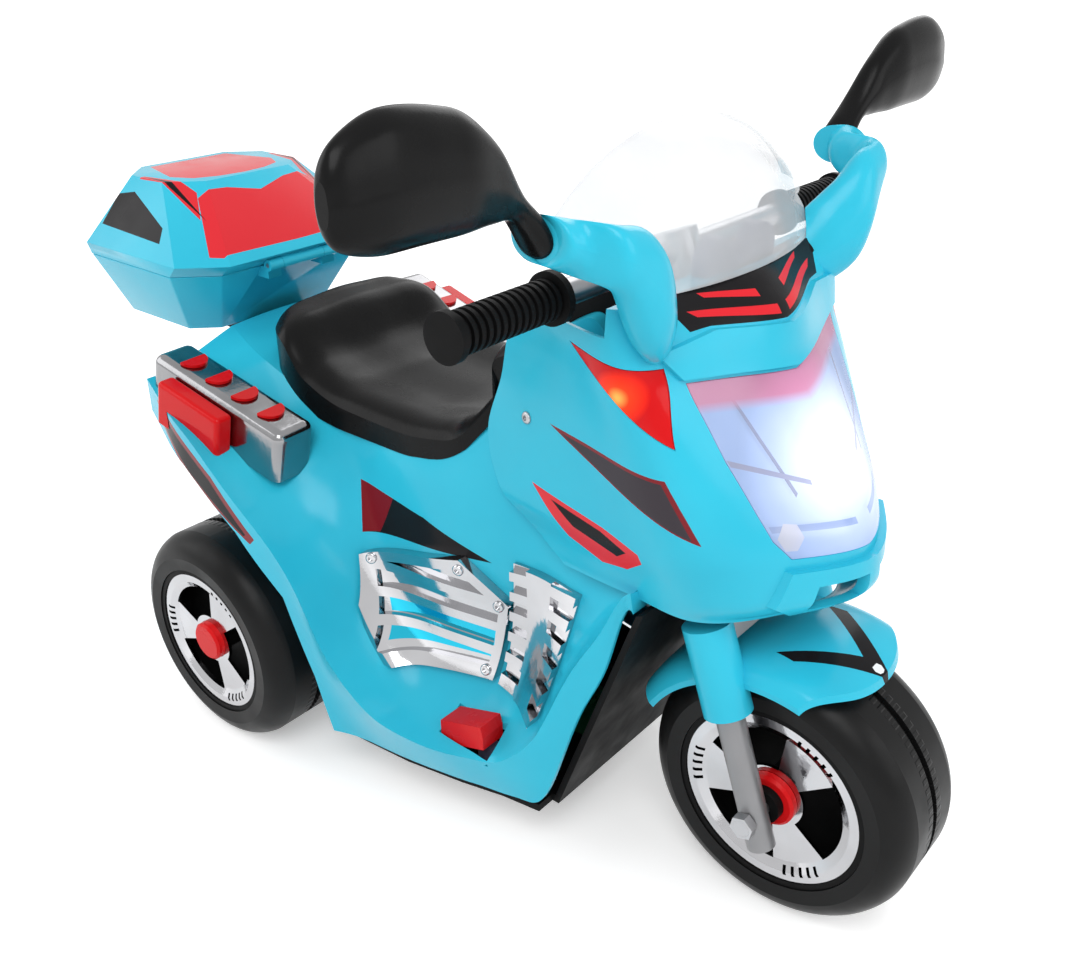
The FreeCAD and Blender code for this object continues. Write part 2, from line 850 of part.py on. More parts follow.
def make_tail_lenses(shell_grown):
    place, length = tail_place()
    outer = tail_width / 2 + touch_gap
    lens = block(
        (length * tail_lens_shares[0], length * tail_lens_shares[1]),
        (outer, outer + tail_lens_width),
        (-tail_sink, -tail_lens_drop),
    )
    lens = lens.makeFillet(tail_lens_round, upper_edges(lens))
    lens.Placement = place
    pieces = [largest(lens.cut(shell_grown))]
    for i in range(moon_count):
        x = length * (moon_start_share + moon_step_share * i)
        disc = rod(pt(x, 0, touch_gap), pt(x, 0, moon_height), moon_radius)
        disc = disc.common(block((x, x + moon_radius), (-moon_radius, moon_radius), (0, moon_height)))
        disc.Placement = place
        pieces.append(disc)
    return Part.makeCompound(pieces)


# Rack and top box.

def box_wire(outline, z, inset):
    rear, front, half, cut = outline
    rear, front, half = rear + inset, front - inset, half - inset
    points = [
        pt(rear + cut, half, z),
        pt(rear, half - cut, z),
        pt(rear, cut - half, z),
        pt(rear + cut, -half, z),
        pt(front - cut, -half, z),
        pt(front, cut - half, z),
        pt(front, half - cut, z),
        pt(front - cut, half, z),
    ]
    return Part.makePolygon(points + points[:1])


def box_loft(rows, inset):
    return Part.makeLoft([box_wire(outline, z, inset) for outline, z in rows], True, True)


def knuckle(y_span, z_span, depth):
    barrel = side_rod(hinge_x, hinge_z, y_span, knuckle_radius)
    return barrel.fuse(block((hinge_x - depth, hinge_x), y_span, z_span))


def hinge_bore():
    return side_rod(hinge_x, hinge_z, (-rear_track, rear_track), pin_radius + running_clearance)


def make_box_base():
    outer = box_loft([(box_bottom_outline, box_bottom_z), (box_rim_outline, box_rim_z)], 0)
    inner = box_loft([(box_bottom_outline, box_bottom_z), (box_rim_outline, box_rim_z)], thin_wall)
    span = (-overall_length, overall_length)
    inner = inner.common(block(span, span, (box_bottom_z + thin_wall, overall_length)))
    base = outer.cut(inner)
    web_z = (box_rim_z - knuckle_web, hinge_z)
    right = knuckle((-base_knuckle_y[1], -base_knuckle_y[0]), web_z, base_web_depth)
    behind = (-overall_length, hinge_x - knuckle_radius)
    right = right.cut(block(behind, span, (box_rim_z, overall_length)))
    return base.fuse([right, mirrored(right)]).cut(inner).cut(hinge_bore()).removeSplitter()


def make_box_lid():
    rows = [(box_rim_outline, lid_rim_z), (lid_lip_outline, lid_lip_z), (lid_top_outline, lid_top_z)]
    outer = box_loft(rows, 0)
    inner = box_loft(rows, thin_wall)
    span = (-overall_length, overall_length)
    inner = inner.common(block(span, span, (0, lid_top_z - thin_wall)))
    low = hinge_z - lid_web_drop
    tongue = knuckle((-lid_knuckle_half, lid_knuckle_half), (low, hinge_z + knuckle_radius), lid_web_depth)
    room_y = (base_knuckle_y[0] - knuckle_room, base_knuckle_y[1] + knuckle_room)
    room = side_rod(hinge_x, hinge_z, room_y, knuckle_radius + knuckle_room)
    lid = outer.fuse(tongue).cut(inner)
    return lid.cut(room.fuse([mirrored(room), hinge_bore()])).removeSplitter()


def make_hinge_pin():
    return side_rod(hinge_x, hinge_z, (-base_knuckle_y[1], base_knuckle_y[1]), pin_radius)


def make_rack():
    plate = side_prism(rack_points, (-rack_half, rack_half))
    rear = min(x for x, z in rack_points)
    slot = block(
        (rear + rack_half, rack_points[2][0] - rack_half),
        (-rack_slot_half, rack_slot_half),
        (0, overall_length),
    )
    return plate.cut(slot)


# Steering, drawn upright at the axle and then leaned back by the rake.

def steered(shape):
    turned = shape.copy()
    lean = Placement(pt(front_axle_x, 0, front_tyre_radius), Rotation(pt(0, 1, 0), -rake_angle))
    turned.Placement = lean.multiply(turned.Placement)
    return turned


def cross_rod(half, height, radius):
    return rod(pt(0, -half, height), pt(0, half, height), radius)


def upright(y, span, radius):
    return rod(pt(0, y, span[0]), pt(0, y, span[1]), radius)


def crown_block(grow):
    half_y = fork_y + leg_radius
    half_x = crown_half + grow
    return block((-half_x, half_x), (-half_y, half_y), (crown_span[0] - grow, crown_span[1] + grow))


def make_fork():
    legs = [upright(side * fork_y, leg_span, leg_radius) for side in (1, -1)]
    stem = upright(0, (crown_span[0], stem_top), stem_radius)
    fork = crown_block(0).fuse(legs + [stem]).removeSplitter()
    return fork.cut(cross_rod(rear_track, 0, axle_radius + touch_gap))


def make_front_axle():
    return cross_rod(fork_y + leg_radius + front_nut_height + touch_gap, 0, axle_radius)


def make_front_nuts():
    y = fork_y + leg_radius + touch_gap
    nut = hexagon_nut(pt(0, y, 0), pt(0, 1, 0), front_nut_radius, front_nut_height)
    return both_sides(nut.cut(cross_rod(rear_track, 0, axle_radius + running_clearance)))


def fender_face():
    half = [(r, y) for r, y in fender_points]
    outer = [pt(0, -y, r) for r, y in half] + [pt(0, y, r) for r, y in reversed(half[:-1])]
    inner = [pt(0, p.y, p.z - fender_wall) for p in outer]
    edges = [
        smooth_edge(outer),
        Part.makeLine(outer[-1], inner[-1]),
        smooth_edge(inner[::-1]),
        Part.makeLine(inner[0], outer[0]),
    ]
    return Part.Face(Part.Wire(edges))


def beak_prism():
    half = [pt(x, y, 0) for x, y in beak_points[1:]]
    full = half + [pt(p.x, -p.y, 0) for p in reversed(half[:-1])]
    rear_x, rear_y = beak_points[0]
    corners = [full[-1], pt(rear_x, -rear_y, 0), pt(rear_x, rear_y, 0), full[0]]
    edges = [smooth_edge(full)] + [Part.makeLine(a, b) for a, b in zip(corners, corners[1:])]
    return Part.Face(Part.Wire(edges)).extrude(pt(0, 0, overall_length))


def make_fender():
    start = fender_face()
    start.rotate(pt(0, 0, 0), pt(0, 1, 0), -fender_rear_angle)
    arch = start.revolve(pt(0, 0, 0), pt(0, 1, 0), fender_rear_angle + fender_front_angle)
    arch = arch.common(beak_prism())
    covers = [upright(side * fork_y, cover_span, cover_radius) for side in (1, -1)]
    body = arch.fuse(covers)
    tyre_room = cross_rod(tyre_width / 2 + cover_room, 0, front_tyre_radius + cover_room)
    legs = [upright(side * fork_y, leg_span, leg_radius + touch_gap) for side in (1, -1)]
    body = body.cut(legs[0].fuse([legs[1], crown_block(touch_gap), tyre_room]))
    return largest(body)


def make_handlebar():
    clamp = upright(0, clamp_span, clamp_radius)
    bar = clamp.fuse(cross_rod(bar_half, bar_height, bar_radius)).removeSplitter()
    return bar.cut(upright(0, (clamp_span[0], stem_top + touch_gap), stem_radius + running_clearance))


def make_grip():
    start, end = grip_span
    bore = bar_radius + touch_gap
    rib_start = start + grip_collar
    pitch = (end - grip_collar - rib_start) / grip_rib_count
    outline = [(start, bore), (start, grip_flange), (rib_start, grip_flange)]
    for i in range(grip_rib_count):
        y = rib_start + pitch * i
        middle = y + pitch / 2
        outline += [(y, grip_core), (middle, grip_core), (middle, grip_radius), (y + pitch, grip_radius)]
    outline += [(end - grip_collar, grip_end_radius), (end, grip_end_radius), (end, 0)]
    outline += [(bar_half + touch_gap, 0), (bar_half + touch_gap, bore)]
    face = closed_face([pt(0, y, r) for y, r in outline])
    grip = face.revolve(pt(0, 0, 0), pt(0, 1, 0), 360)
    return grip.translated(pt(0, 0, bar_height))


def make_head_tube(shell_grown):
    tube = upright(0, head_span, head_radius)
    fin = block((-head_fin_reach, 0), (-head_fin_half, head_fin_half), head_fin_span)
    body = steered(tube.fuse(fin)).cut(shell_grown)
    body = largest(body)
    return body.cut(steered(upright(0, head_span, head_bore)))


def make_bushes():
    pieces = []
    for end, way in ((head_span[0], 1), (head_span[1], -1)):
        inside = end + way * bush_length
        outside = end - way * bush_flange_height
        sleeve = upright(0, (end, inside), head_bore - touch_gap)
        flange = upright(0, (outside, end), bush_flange)
        bush = sleeve.fuse(flange).removeSplitter()
        low, high = min(inside, outside), max(inside, outside)
        pieces.append(bush.cut(upright(0, (low, high), stem_radius + running_clearance)))
    return Part.makeCompound(pieces)


# Wheels, drawn about the Y axis with the outer face towards minus Y.

def turned_ring(outline):
    return closed_face([pt(0, y, r) for y, r in outline]).revolve(pt(0, 0, 0), pt(0, 1, 0), 360)


def make_tyre(radius):
    half = tyre_width / 2
    bead = radius - rim_drop
    side = [
        pt(0, half, radius - side_drop),
        pt(0, shoulder_half, radius - shoulder_drop),
        pt(0, tread_half, radius),
    ]
    other = [pt(0, -p.y, p.z) for p in reversed(side)]
    floor = radius - groove_depth
    groove = [
        pt(0, groove_half, radius),
        pt(0, groove_half, floor),
        pt(0, -groove_half, floor),
        pt(0, -groove_half, radius),
    ]
    depth = groove_depth + tyre_wall
    inner = [
        pt(0, -half + bead_width, bead),
        pt(0, -half + tyre_wall, radius - side_drop),
        pt(0, -shoulder_half + tyre_wall, radius - depth),
        pt(0, shoulder_half - tyre_wall, radius - depth),
        pt(0, half - tyre_wall, radius - side_drop),
        pt(0, half - bead_width, bead),
    ]
    run = [pt(0, half - bead_set, bead), side[0]]
    edges = [Part.makeLine(run[0], run[1]), smooth_edge(side)]
    chain = [side[-1]] + groove + [other[0]]
    edges += [Part.makeLine(a, b) for a, b in zip(chain, chain[1:])]
    edges.append(smooth_edge(other))
    chain = [other[-1], pt(0, bead_set - half, bead)] + inner + [run[0]]
    edges += [Part.makeLine(a, b) for a, b in zip(chain, chain[1:])]
    return Part.Face(Part.Wire(edges)).revolve(pt(0, 0, 0), pt(0, 1, 0), 360)


def barrel_radius(radius):
    return radius - rim_drop - touch_gap


def cover_radius_for(radius):
    return barrel_radius(radius) - barrel_wall - touch_gap


def make_core(radius, hub_span, web_centre):
    outer = barrel_radius(radius)
    inner = outer - barrel_wall
    barrel = pipe(pt(0, -barrel_half, 0), pt(0, barrel_half, 0), outer, inner)
    web = rod(pt(0, web_centre - web_half, 0), pt(0, web_centre + web_half, 0), inner)
    hub = rod(pt(0, hub_span[0], 0), pt(0, hub_span[1], 0), hub_radius)
    core = barrel.fuse([web, hub]).removeSplitter()
    return core.cut(rod(pt(0, hub_span[0], 0), pt(0, hub_span[1], 0), axle_radius + running_clearance))


def cover_window(radius, turn):
    near, far = radius * window_radius_shares[0], radius * window_radius_shares[1]
    reach = rod(pt(0, -cover_face, 0), pt(0, 0, 0), far).cut(rod(pt(0, -cover_face, 0), pt(0, 0, 0), near))
    wide = math.tan(math.radians(window_angle))
    wedge = side_prism([(0, 0), (radius, -radius * wide), (radius, radius * wide)], (-cover_face, 0))
    window = reach.common(wedge)
    window.rotate(pt(0, 0, 0), pt(0, 1, 0), turn)
    return window


def cover_slots(radius, turn):
    slots = []
    for i in range(slot_count):
        slot = block(
            (radius * slot_radius_shares[0], radius * slot_radius_shares[1]),
            (-cover_face, 0),
            (-slot_width / 2, slot_width / 2),
        )
        slot.rotate(pt(0, 0, 0), pt(0, 1, 0), turn + slot_step_angle * (i - (slot_count - 1) / 2))
        slots.append(slot)
    return slots


def make_cover(radius, bore):
    outer = cover_radius_for(radius)
    ring = outer - cover_ring
    cover = turned_ring([
        (-cover_dish, bore),
        (-cover_dish, ring - cover_ring),
        (-cover_face, ring),
        (-cover_face, outer),
        (cover_wall - cover_dish, outer),
        (cover_wall - cover_dish, bore),
    ])
    cuts = []
    for i in range(spoke_count):
        turn = 360 / spoke_count * i
        cuts.append(cover_window(outer, turn))
        cuts += cover_slots(outer, turn + 180 / spoke_count)
    return cover.cut(Part.makeCompound(cuts))


def make_cap():
    skirt_end = cap_wall - cover_dish
    return turned_ring([
        (-cap_face, 0),
        (-cap_face, cap_radius - cap_wall),
        (-cap_face + cap_wall, cap_radius),
        (skirt_end, cap_radius),
        (skirt_end, cap_radius - cap_wall),
        (-cap_face + cap_wall, cap_radius - cap_wall),
        (-cap_face + cap_wall, 0),
    ])


def make_front_cap():
    bore = hub_radius + touch_gap
    return turned_ring([
        (-cap_face, bore),
        (-cap_face, front_cap_radius - cap_wall),
        (-cap_face + cap_wall, front_cap_radius),
        (-cover_dish - touch_gap, front_cap_radius),
        (-cover_dish - touch_gap, bore),
    ])


def at_front(shape):
    return shape.translated(pt(front_axle_x, 0, front_tyre_radius))


def at_rear(shape, side):
    placed = shape if side < 0 else mirrored(shape)
    return placed.translated(pt(rear_axle_x, side * rear_wheel_y, rear_tyre_radius))


def save_front_wheel():
    bore = hub_radius + touch_gap
    save("front_tyre", at_front(make_tyre(front_tyre_radius)))
    save("front_wheel_core", at_front(make_core(front_tyre_radius, (-front_hub_end, front_hub_end), 0)))
    save("front_wheel_covers", at_front(both_sides(make_cover(front_tyre_radius, bore))))
    save("front_hub_caps", at_front(both_sides(make_front_cap())))


def save_rear_wheels():
    inner_end = rear_wheel_y - wheel_bay_y - touch_gap
    driven_end = inner_end - dog_length
    for side, name, hub_end_in in ((-1, "right", driven_end), (1, "left", inner_end)):
        core = make_core(rear_tyre_radius, (-hub_end, hub_end_in), -web_offset)
        save("rear_tyre_" + name, at_rear(make_tyre(rear_tyre_radius), side))
        save("rear_wheel_core_" + name, at_rear(core, side))
        cover = make_cover(rear_tyre_radius, cap_radius + touch_gap)
        save("rear_wheel_cover_" + name, at_rear(cover, side))
        save("rear_hub_cap_" + name, at_rear(make_cap(), side))


def make_rear_axle():
    half = rear_wheel_y + hub_end + rear_nut_height + touch_gap * 2
    return rear_axle_line(-half, half, axle_radius)


def make_rear_nuts():
    centre = pt(rear_axle_x, rear_wheel_y + hub_end + touch_gap, rear_tyre_radius)
    nut = hexagon_nut(centre, pt(0, 1, 0), rear_nut_radius, rear_nut_height)
    return both_sides(nut.cut(rear_axle_line(-rear_track, rear_track, axle_radius + running_clearance)))


# Gear train.

def involute(angle):
    return math.tan(angle) - angle


def gear(teeth, y_span, bore, turn):
    pitch_radius = gear_module * teeth / 2
    pressure = math.radians(pressure_angle)
    base_radius = pitch_radius * math.cos(pressure)
    tip = pitch_radius + gear_module * addendum_share
    root = pitch_radius - gear_module * dedendum_share
    half_tooth = math.pi / (2 * teeth) - gear_backlash / (2 * pitch_radius)
    radii = [root]
    low = max(base_radius, root)
    radii += [low + (tip - low) * i / flank_steps for i in range(flank_steps + 1)]
    flank = []
    for r in radii:
        angle = math.acos(min(1, base_radius / r))
        flank.append((r, half_tooth + involute(pressure) - involute(angle)))
    points = []
    for i in range(teeth):
        centre = turn + 2 * math.pi * i / teeth
        for r, spread in flank:
            points.append(pt(r * math.cos(centre - spread), y_span[0], r * math.sin(centre - spread)))
        for r, spread in reversed(flank):
            points.append(pt(r * math.cos(centre + spread), y_span[0], r * math.sin(centre + spread)))
    body = closed_face(points).extrude(pt(0, y_span[1] - y_span[0], 0))
    if bore:
        body = body.cut(rod(pt(0, y_span[0], 0), pt(0, y_span[1], 0), bore))
    return body


def train_point(step):
    reach = gear_module * (pinion_teeth + wheel_teeth) / 2 + gear_spread
    lean = math.radians(train_angle)
    x = rear_axle_x + step * reach * math.cos(lean)
    return pt(x, 0, rear_tyre_radius + step * reach * math.sin(lean))


def make_output_gear():
    lean = math.radians(train_angle)
    bore = axle_radius + running_clearance
    disc = gear(wheel_teeth, output_gear_y, 0, lean)
    dog_end = -wheel_bay_y - dog_length
    sleeve = rod(pt(0, dog_end, 0), pt(0, output_gear_y[1], 0), sleeve_radius)
    whole = disc.fuse(sleeve).cut(rod(pt(0, dog_end, 0), pt(0, output_gear_y[1], 0), bore))
    return whole.translated(train_point(0))


def make_middle_gear():
    lean = math.radians(train_angle)
    bore = gear_pin_radius + running_clearance
    small = gear(pinion_teeth, small_gear_y, bore, lean + math.pi + math.pi / pinion_teeth)
    large = gear(wheel_teeth, large_gear_y, bore, lean)
    joint = pipe(pt(0, small_gear_y[1], 0), pt(0, large_gear_y[0], 0), gear_hub_radius, bore)
    return small.fuse([joint, large]).removeSplitter().translated(train_point(1))


def make_pinion():
    lean = math.radians(train_angle)
    teeth = gear(pinion_teeth, pinion_y, 0, lean + math.pi + math.pi / pinion_teeth)
    shaft_y = (pinion_y[1], gearbox_y[1] + motor_gap + shaft_depth)
    shaft = side_rod(0, 0, shaft_y, motor_shaft_radius)
    return teeth.fuse(shaft).removeSplitter().translated(train_point(2))


def make_gear_pin():
    spot = train_point(1)
    low = gearbox_y[0] + gearbox_wall
    return side_rod(spot.x, spot.z, (low, gearbox_y[1] - gearbox_wall - touch_gap), gear_pin_radius)


def gearbox_form(y_span, inset):
    tip = gear_module * wheel_teeth / 2 + gear_module + gearbox_margin - inset
    small = gear_module * pinion_teeth / 2 + gear_module + gearbox_margin - inset
    spots = [(train_point(0), tip), (train_point(1), tip), (train_point(2), small)]
    lean = math.radians(train_angle)
    pieces = []
    for spot, radius in spots:
        pieces.append(rod(pt(spot.x, y_span[0], spot.z), pt(spot.x, y_span[1], spot.z), radius))
    for (a, ra), (b, rb) in zip(spots, spots[1:]):
        across = (-math.sin(lean), math.cos(lean))
        outline = [
            (a.x + across[0] * ra, a.z + across[1] * ra),
            (a.x - across[0] * ra, a.z - across[1] * ra),
            (b.x - across[0] * rb, b.z - across[1] * rb),
            (b.x + across[0] * rb, b.z + across[1] * rb),
        ]
        pieces.append(side_prism(outline, y_span))
    return pieces[0].fuse(pieces[1:]).removeSplitter()


def make_gearbox():
    low, high = gearbox_y
    rim = high - gearbox_wall - touch_gap
    foot = block(
        (rear_axle_x - upright_half, rear_axle_x + upright_half),
        (low, rim),
        (floor_top + touch_gap, rear_tyre_radius - upright_half),
    )
    cup = gearbox_form((low, rim), 0).fuse(foot)
    cup = cup.cut(gearbox_form((low + gearbox_wall, rim), gearbox_wall))
    cup = cup.cut(rear_axle_line(-rear_wheel_y, 0, sleeve_radius + touch_gap))
    return cup.fuse(make_gear_pin()).removeSplitter()


def make_gearbox_cover():
    high = gearbox_y[1]
    plate = gearbox_form((high - gearbox_wall, high), 0)
    plate = plate.cut(rear_axle_line(-rear_wheel_y, 0, axle_radius + touch_gap))
    spot = train_point(2)
    hole = side_rod(spot.x, spot.z, (high - gearbox_wall, high), motor_shaft_radius + motor_gap)
    return plate.cut(hole)


def make_motor():
    spot = train_point(2)
    start = gearbox_y[1] + motor_gap
    end = start + motor_length
    can = side_rod(spot.x, spot.z, (start, end), motor_radius)
    boss = side_rod(spot.x, spot.z, (end, end + motor_boss), motor_boss)
    bore_y = (start, start + shaft_depth + motor_gap)
    bore = side_rod(spot.x, spot.z, bore_y, motor_shaft_radius + running_clearance)
    return can.fuse(boss).cut(bore)


# Electric pieces, pedal and dash.

def make_battery():
    length, width, height = battery_size
    low = floor_top + touch_gap
    top = low + height
    body = block((battery_x, battery_x + length), (-width / 2, width / 2), (low, top))
    posts = []
    for side in (1, -1):
        foot = pt(battery_x + terminal_inset, side * terminal_inset, top)
        posts.append(rod(foot, foot + pt(0, 0, terminal_height), terminal_radius))
    return body.fuse(posts).removeSplitter()


def make_board():
    length, width, thickness = board_size
    low = floor_top + touch_gap
    top = low + board_lift + thickness
    plate = block((board_x, board_x + length), (-width / 2, width / 2), (low + board_lift, top))
    pieces = []
    for x in (board_x + board_lift, board_x + length - board_lift):
        for y in (board_lift - width / 2, width / 2 - board_lift):
            pieces.append(rod(pt(x, y, low), pt(x, y, low + board_lift), board_lift / 2))
    chip_x = (board_x + length * chip_length_shares[0], board_x + length * chip_length_shares[1])
    for share in chip_shares:
        chip_y = (width * share, width * (share + chip_width_share))
        pieces.append(block(chip_x, chip_y, (top, top + chip_height)))
    return plate.fuse(pieces).removeSplitter()


def make_speaker():
    low = floor_top + touch_gap
    foot = pt(speaker_place[0], speaker_place[1], low)
    basket = Part.makeCone(speaker_radius, speaker_radius / 2, speaker_height / 2, foot)
    magnet = rod(foot, foot + pt(0, 0, speaker_height), speaker_radius / 2)
    return basket.fuse(magnet).removeSplitter()


def make_pedal():
    skirt = side_prism(pedal_skirt_points, pedal_y)
    room = side_prism(pedal_skirt_points, (pedal_y[0] + pedal_skirt_wall, pedal_y[1]))
    skirt = skirt.cut(room.translated(pt(-pedal_skirt_wall, 0, -pedal_skirt_wall)))
    body = side_prism(pedal_points, pedal_y).fuse(skirt).removeSplitter()
    x, z = pedal_pin
    return body.cut(rod(pt(x, pedal_y[0], z), pt(x, pedal_y[1], z), pedal_pin_radius + running_clearance))


def bracket_y():
    return (pedal_y[1] + touch_gap, pedal_y[1] + touch_gap + bracket_thickness)


def make_pedal_bracket():
    x, z = pedal_pin
    y_span = bracket_y()
    plate = block(bracket_x, y_span, (floor_bottom, z + bracket_thickness + pedal_pin_radius))
    return plate.cut(rod(pt(x, y_span[0], z), pt(x, y_span[1], z), pedal_pin_radius + running_clearance))


def make_pedal_pin():
    x, z = pedal_pin
    return rod(pt(x, pedal_y[0], z), pt(x, bracket_y()[1], z), pedal_pin_radius)


def make_microswitch():
    body = block(microswitch_x, microswitch_y, (floor_top + touch_gap, microswitch_z))
    x = sum(microswitch_x) / 2
    y = sum(microswitch_y) / 2
    return body.fuse(rod(pt(x, y, microswitch_z), pt(x, y, plunger_z), plunger_radius)).removeSplitter()


def dash_place():
    low, high = dash_points[3], dash_points[2]
    slope = math.degrees(math.atan2(high[1] - low[1], high[0] - low[0]))
    middle = pt((low[0] + high[0]) / 2, 0, (low[1] + high[1]) / 2)
    return Placement(middle, Rotation(pt(0, 1, 0), -slope))


def on_dash(shape):
    placed = shape.copy()
    placed.Placement = dash_place()
    return placed


def rocker_block(side, grow_x, grow_y, z_span):
    half_x = rocker_size[0] / 2 + grow_x
    half_y = rocker_size[1] / 2 + grow_y
    return block((-half_x, half_x), (side * rocker_y - half_y, side * rocker_y + half_y), z_span)


def button_rod(side, grow, z_span):
    return rod(pt(0, side * button_y, z_span[0]), pt(0, side * button_y, z_span[1]), button_radius + grow)


def make_dash(shell_grown):
    panel = side_prism(dash_points, (-dash_half, dash_half))
    wells = (-dash_well, cut_margin)
    for side in (1, -1):
        panel = panel.cut(on_dash(rocker_block(side, rocker_gap, switch_gap, wells)))
        panel = panel.cut(on_dash(button_rod(side, switch_gap, wells)))
    return largest(panel.cut(shell_grown))


def make_rocker(side):
    body = rocker_block(side, 0, 0, (rocker_rise - rocker_size[2], rocker_rise))
    set_back = -rocker_size[0] * rocker_notch_share
    notch = rocker_block(side, set_back, 0, (rocker_rise - rocker_dip, rocker_rise))
    return on_dash(body.cut(notch))


def make_button(side):
    return on_dash(button_rod(side, 0, (button_rise - button_height, button_rise)))


def make_charge_socket():
    x, z = socket_place
    far = skirt_y_at_socket()
    near = far - socket_length
    outer = socket_radius - touch_gap
    body = pipe(pt(x, near, z), pt(x, far, z), outer, socket_radius - socket_wall)
    pin = side_rod(x, z, (near, far - socket_wall), socket_pin_radius)
    back = side_rod(x, z, (near, near + socket_wall), outer)
    return body.fuse([pin, back]).removeSplitter()


def skirt_y_at_socket():
    for row in dense_rows(shell_points, loft_steps):
        if row[0] >= socket_place[0]:
            share = (socket_place[1] - row[10]) / (row[8] - row[10])
            return row[9] + (row[7] - row[9]) * share


os.makedirs("parts", exist_ok=True)
shell_outer = shell_form(0)
shell_grown = shell_form(-seat_gap)
save("main_shell", make_main_shell(shell_outer))
save("chassis", make_chassis())
save("floor_screws", make_floor_screws())

skin = fairing_skin(fairing_form(0, 0))
save("fairing", make_fairing(skin, shell_grown))
save("headlight_lens", make_headlight_lens(skin))
save("headlight_reflector", make_reflector())
save("headlight_bulbs", make_bulbs())
save("windscreen", make_windscreen())
save("gauge_cluster", make_gauges())
save("indicator_lenses", both_sides(make_indicator(skin)))
housing, glass = make_mirror()
save("mirror_housing_right", housing)
save("mirror_housing_left", mirrored(housing))
save("mirror_glasses", both_sides(glass))

save("seat", make_seat(shell_grown))
trim_base = trim_layer(shell_grown, trim_plate)
trim_top = trim_layer(shell_grown, trim_relief)
save("crankcase_trims", both_sides(make_crankcase(trim_base, trim_top)))
save("cylinder_trims", both_sides(make_cylinder(trim_base, trim_top)))
tail = make_tail_housing(shell_grown)
save("tail_housing_left", tail)
save("tail_housing_right", mirrored(tail))
save("tail_lenses", both_sides(make_tail_lenses(shell_grown)))

save("rack", make_rack())
save("box_base", make_box_base())
save("box_lid", make_box_lid())
save("hinge_pins", Part.makeCompound([make_hinge_pin(), make_pedal_pin()]))

save("fork", steered(make_fork()))
save("front_axle", steered(Part.makeCompound([make_front_axle(), make_front_nuts()])))
save("front_fender", steered(make_fender()))
save("handlebar", steered(make_handlebar()))
save("grips", steered(both_sides(make_grip())))
save("head_tube", make_head_tube(shell_grown))
save("steering_bushes", steered(make_bushes()))

save_front_wheel()
save_rear_wheels()
save("rear_axle", Part.makeCompound([make_rear_axle(), make_rear_nuts()]))

save("output_gear", make_output_gear())
save("middle_gear", make_middle_gear())
save("motor_pinion", make_pinion())
save("gearbox", make_gearbox())
save("gearbox_cover", make_gearbox_cover())
save("motor", make_motor())

save("battery", make_battery())
save("control_board", make_board())
save("speaker", make_speaker())
save("charge_socket", make_charge_socket())
save("pedal", make_pedal())
save("pedal_microswitch", make_microswitch())
save("dash_panel", make_dash(shell_grown))
save("power_rocker", make_rocker(-1))
save("direction_rocker", make_rocker(1))
save("horn_button", make_button(-1))
save("music_button", make_button(1))
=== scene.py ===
# %% [markdown]
# A kids electric motorbike: one steered wheel in front, two wheels behind, a moulded body.
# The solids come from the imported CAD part, so every piece is already in its place, in metres.
# This lesson gives them their finishes and adds the small forms that a moulder or printer adds.

import json
import math

import bpy
from mathutils import Matrix, Vector


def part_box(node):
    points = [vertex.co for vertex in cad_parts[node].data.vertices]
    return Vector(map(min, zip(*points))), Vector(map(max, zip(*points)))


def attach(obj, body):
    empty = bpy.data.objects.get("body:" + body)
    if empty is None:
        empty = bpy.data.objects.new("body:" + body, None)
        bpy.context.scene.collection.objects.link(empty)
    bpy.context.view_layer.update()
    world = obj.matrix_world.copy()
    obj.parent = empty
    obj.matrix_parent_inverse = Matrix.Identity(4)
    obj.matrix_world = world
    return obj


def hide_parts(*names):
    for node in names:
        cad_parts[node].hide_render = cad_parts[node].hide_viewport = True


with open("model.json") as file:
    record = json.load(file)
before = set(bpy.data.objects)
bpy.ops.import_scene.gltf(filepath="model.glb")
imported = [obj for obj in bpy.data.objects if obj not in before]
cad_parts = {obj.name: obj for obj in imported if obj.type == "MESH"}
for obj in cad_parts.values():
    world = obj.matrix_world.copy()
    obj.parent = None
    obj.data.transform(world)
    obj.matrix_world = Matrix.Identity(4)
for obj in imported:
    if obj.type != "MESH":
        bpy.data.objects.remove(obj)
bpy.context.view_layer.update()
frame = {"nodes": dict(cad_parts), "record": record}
nodes = frame["nodes"]

# %% [markdown]
# The camera stands to the right of the nose and looks down on the bike.
# It could be placed by eye, but a turn, a height and a small roll make the view easy to check.
# The matrix columns are the camera's own right, up and back directions.

# %% Camera
view_turn = math.radians(40.3154)
view_height = math.radians(26.7982)
view_roll = math.radians(-0.5357)
stand = Vector((0.5679, -0.5994, 0.6545))
back = Vector((
    math.sin(view_turn) * math.cos(view_height),
    -math.cos(view_turn) * math.cos(view_height),
    math.sin(view_height),
))
level_right = Vector((math.cos(view_turn), math.sin(view_turn), 0))
level_up = back.cross(level_right)
right = level_right * math.cos(view_roll) + level_up * math.sin(view_roll)
up = level_up * math.cos(view_roll) - level_right * math.sin(view_roll)
camera_data = bpy.data.cameras.new("camera")
camera_data.lens = 37.48
camera_data.sensor_width = 36
camera = bpy.data.objects.new("camera", camera_data)
bpy.context.scene.collection.objects.link(camera)
camera.matrix_world = Matrix((
    (right.x, up.x, back.x, stand.x),
    (right.y, up.y, back.y, stand.y),
    (right.z, up.z, back.z, stand.z),
    (0, 0, 0, 1),
))
bpy.context.scene.camera = camera
bpy.context.scene.view_settings.view_transform = "Standard"
print("camera at", [round(v, 3) for v in stand])

# %% [markdown]
# A finish in Blender is a small graph of nodes, and a few steps of it come back in nearly every finish.
# Each could be wired by hand in every material, but then the wiring hides what is special there.
# So each step is a short helper. Places are Object coordinates: they stay on a piece when it moves.

# %% Node helpers


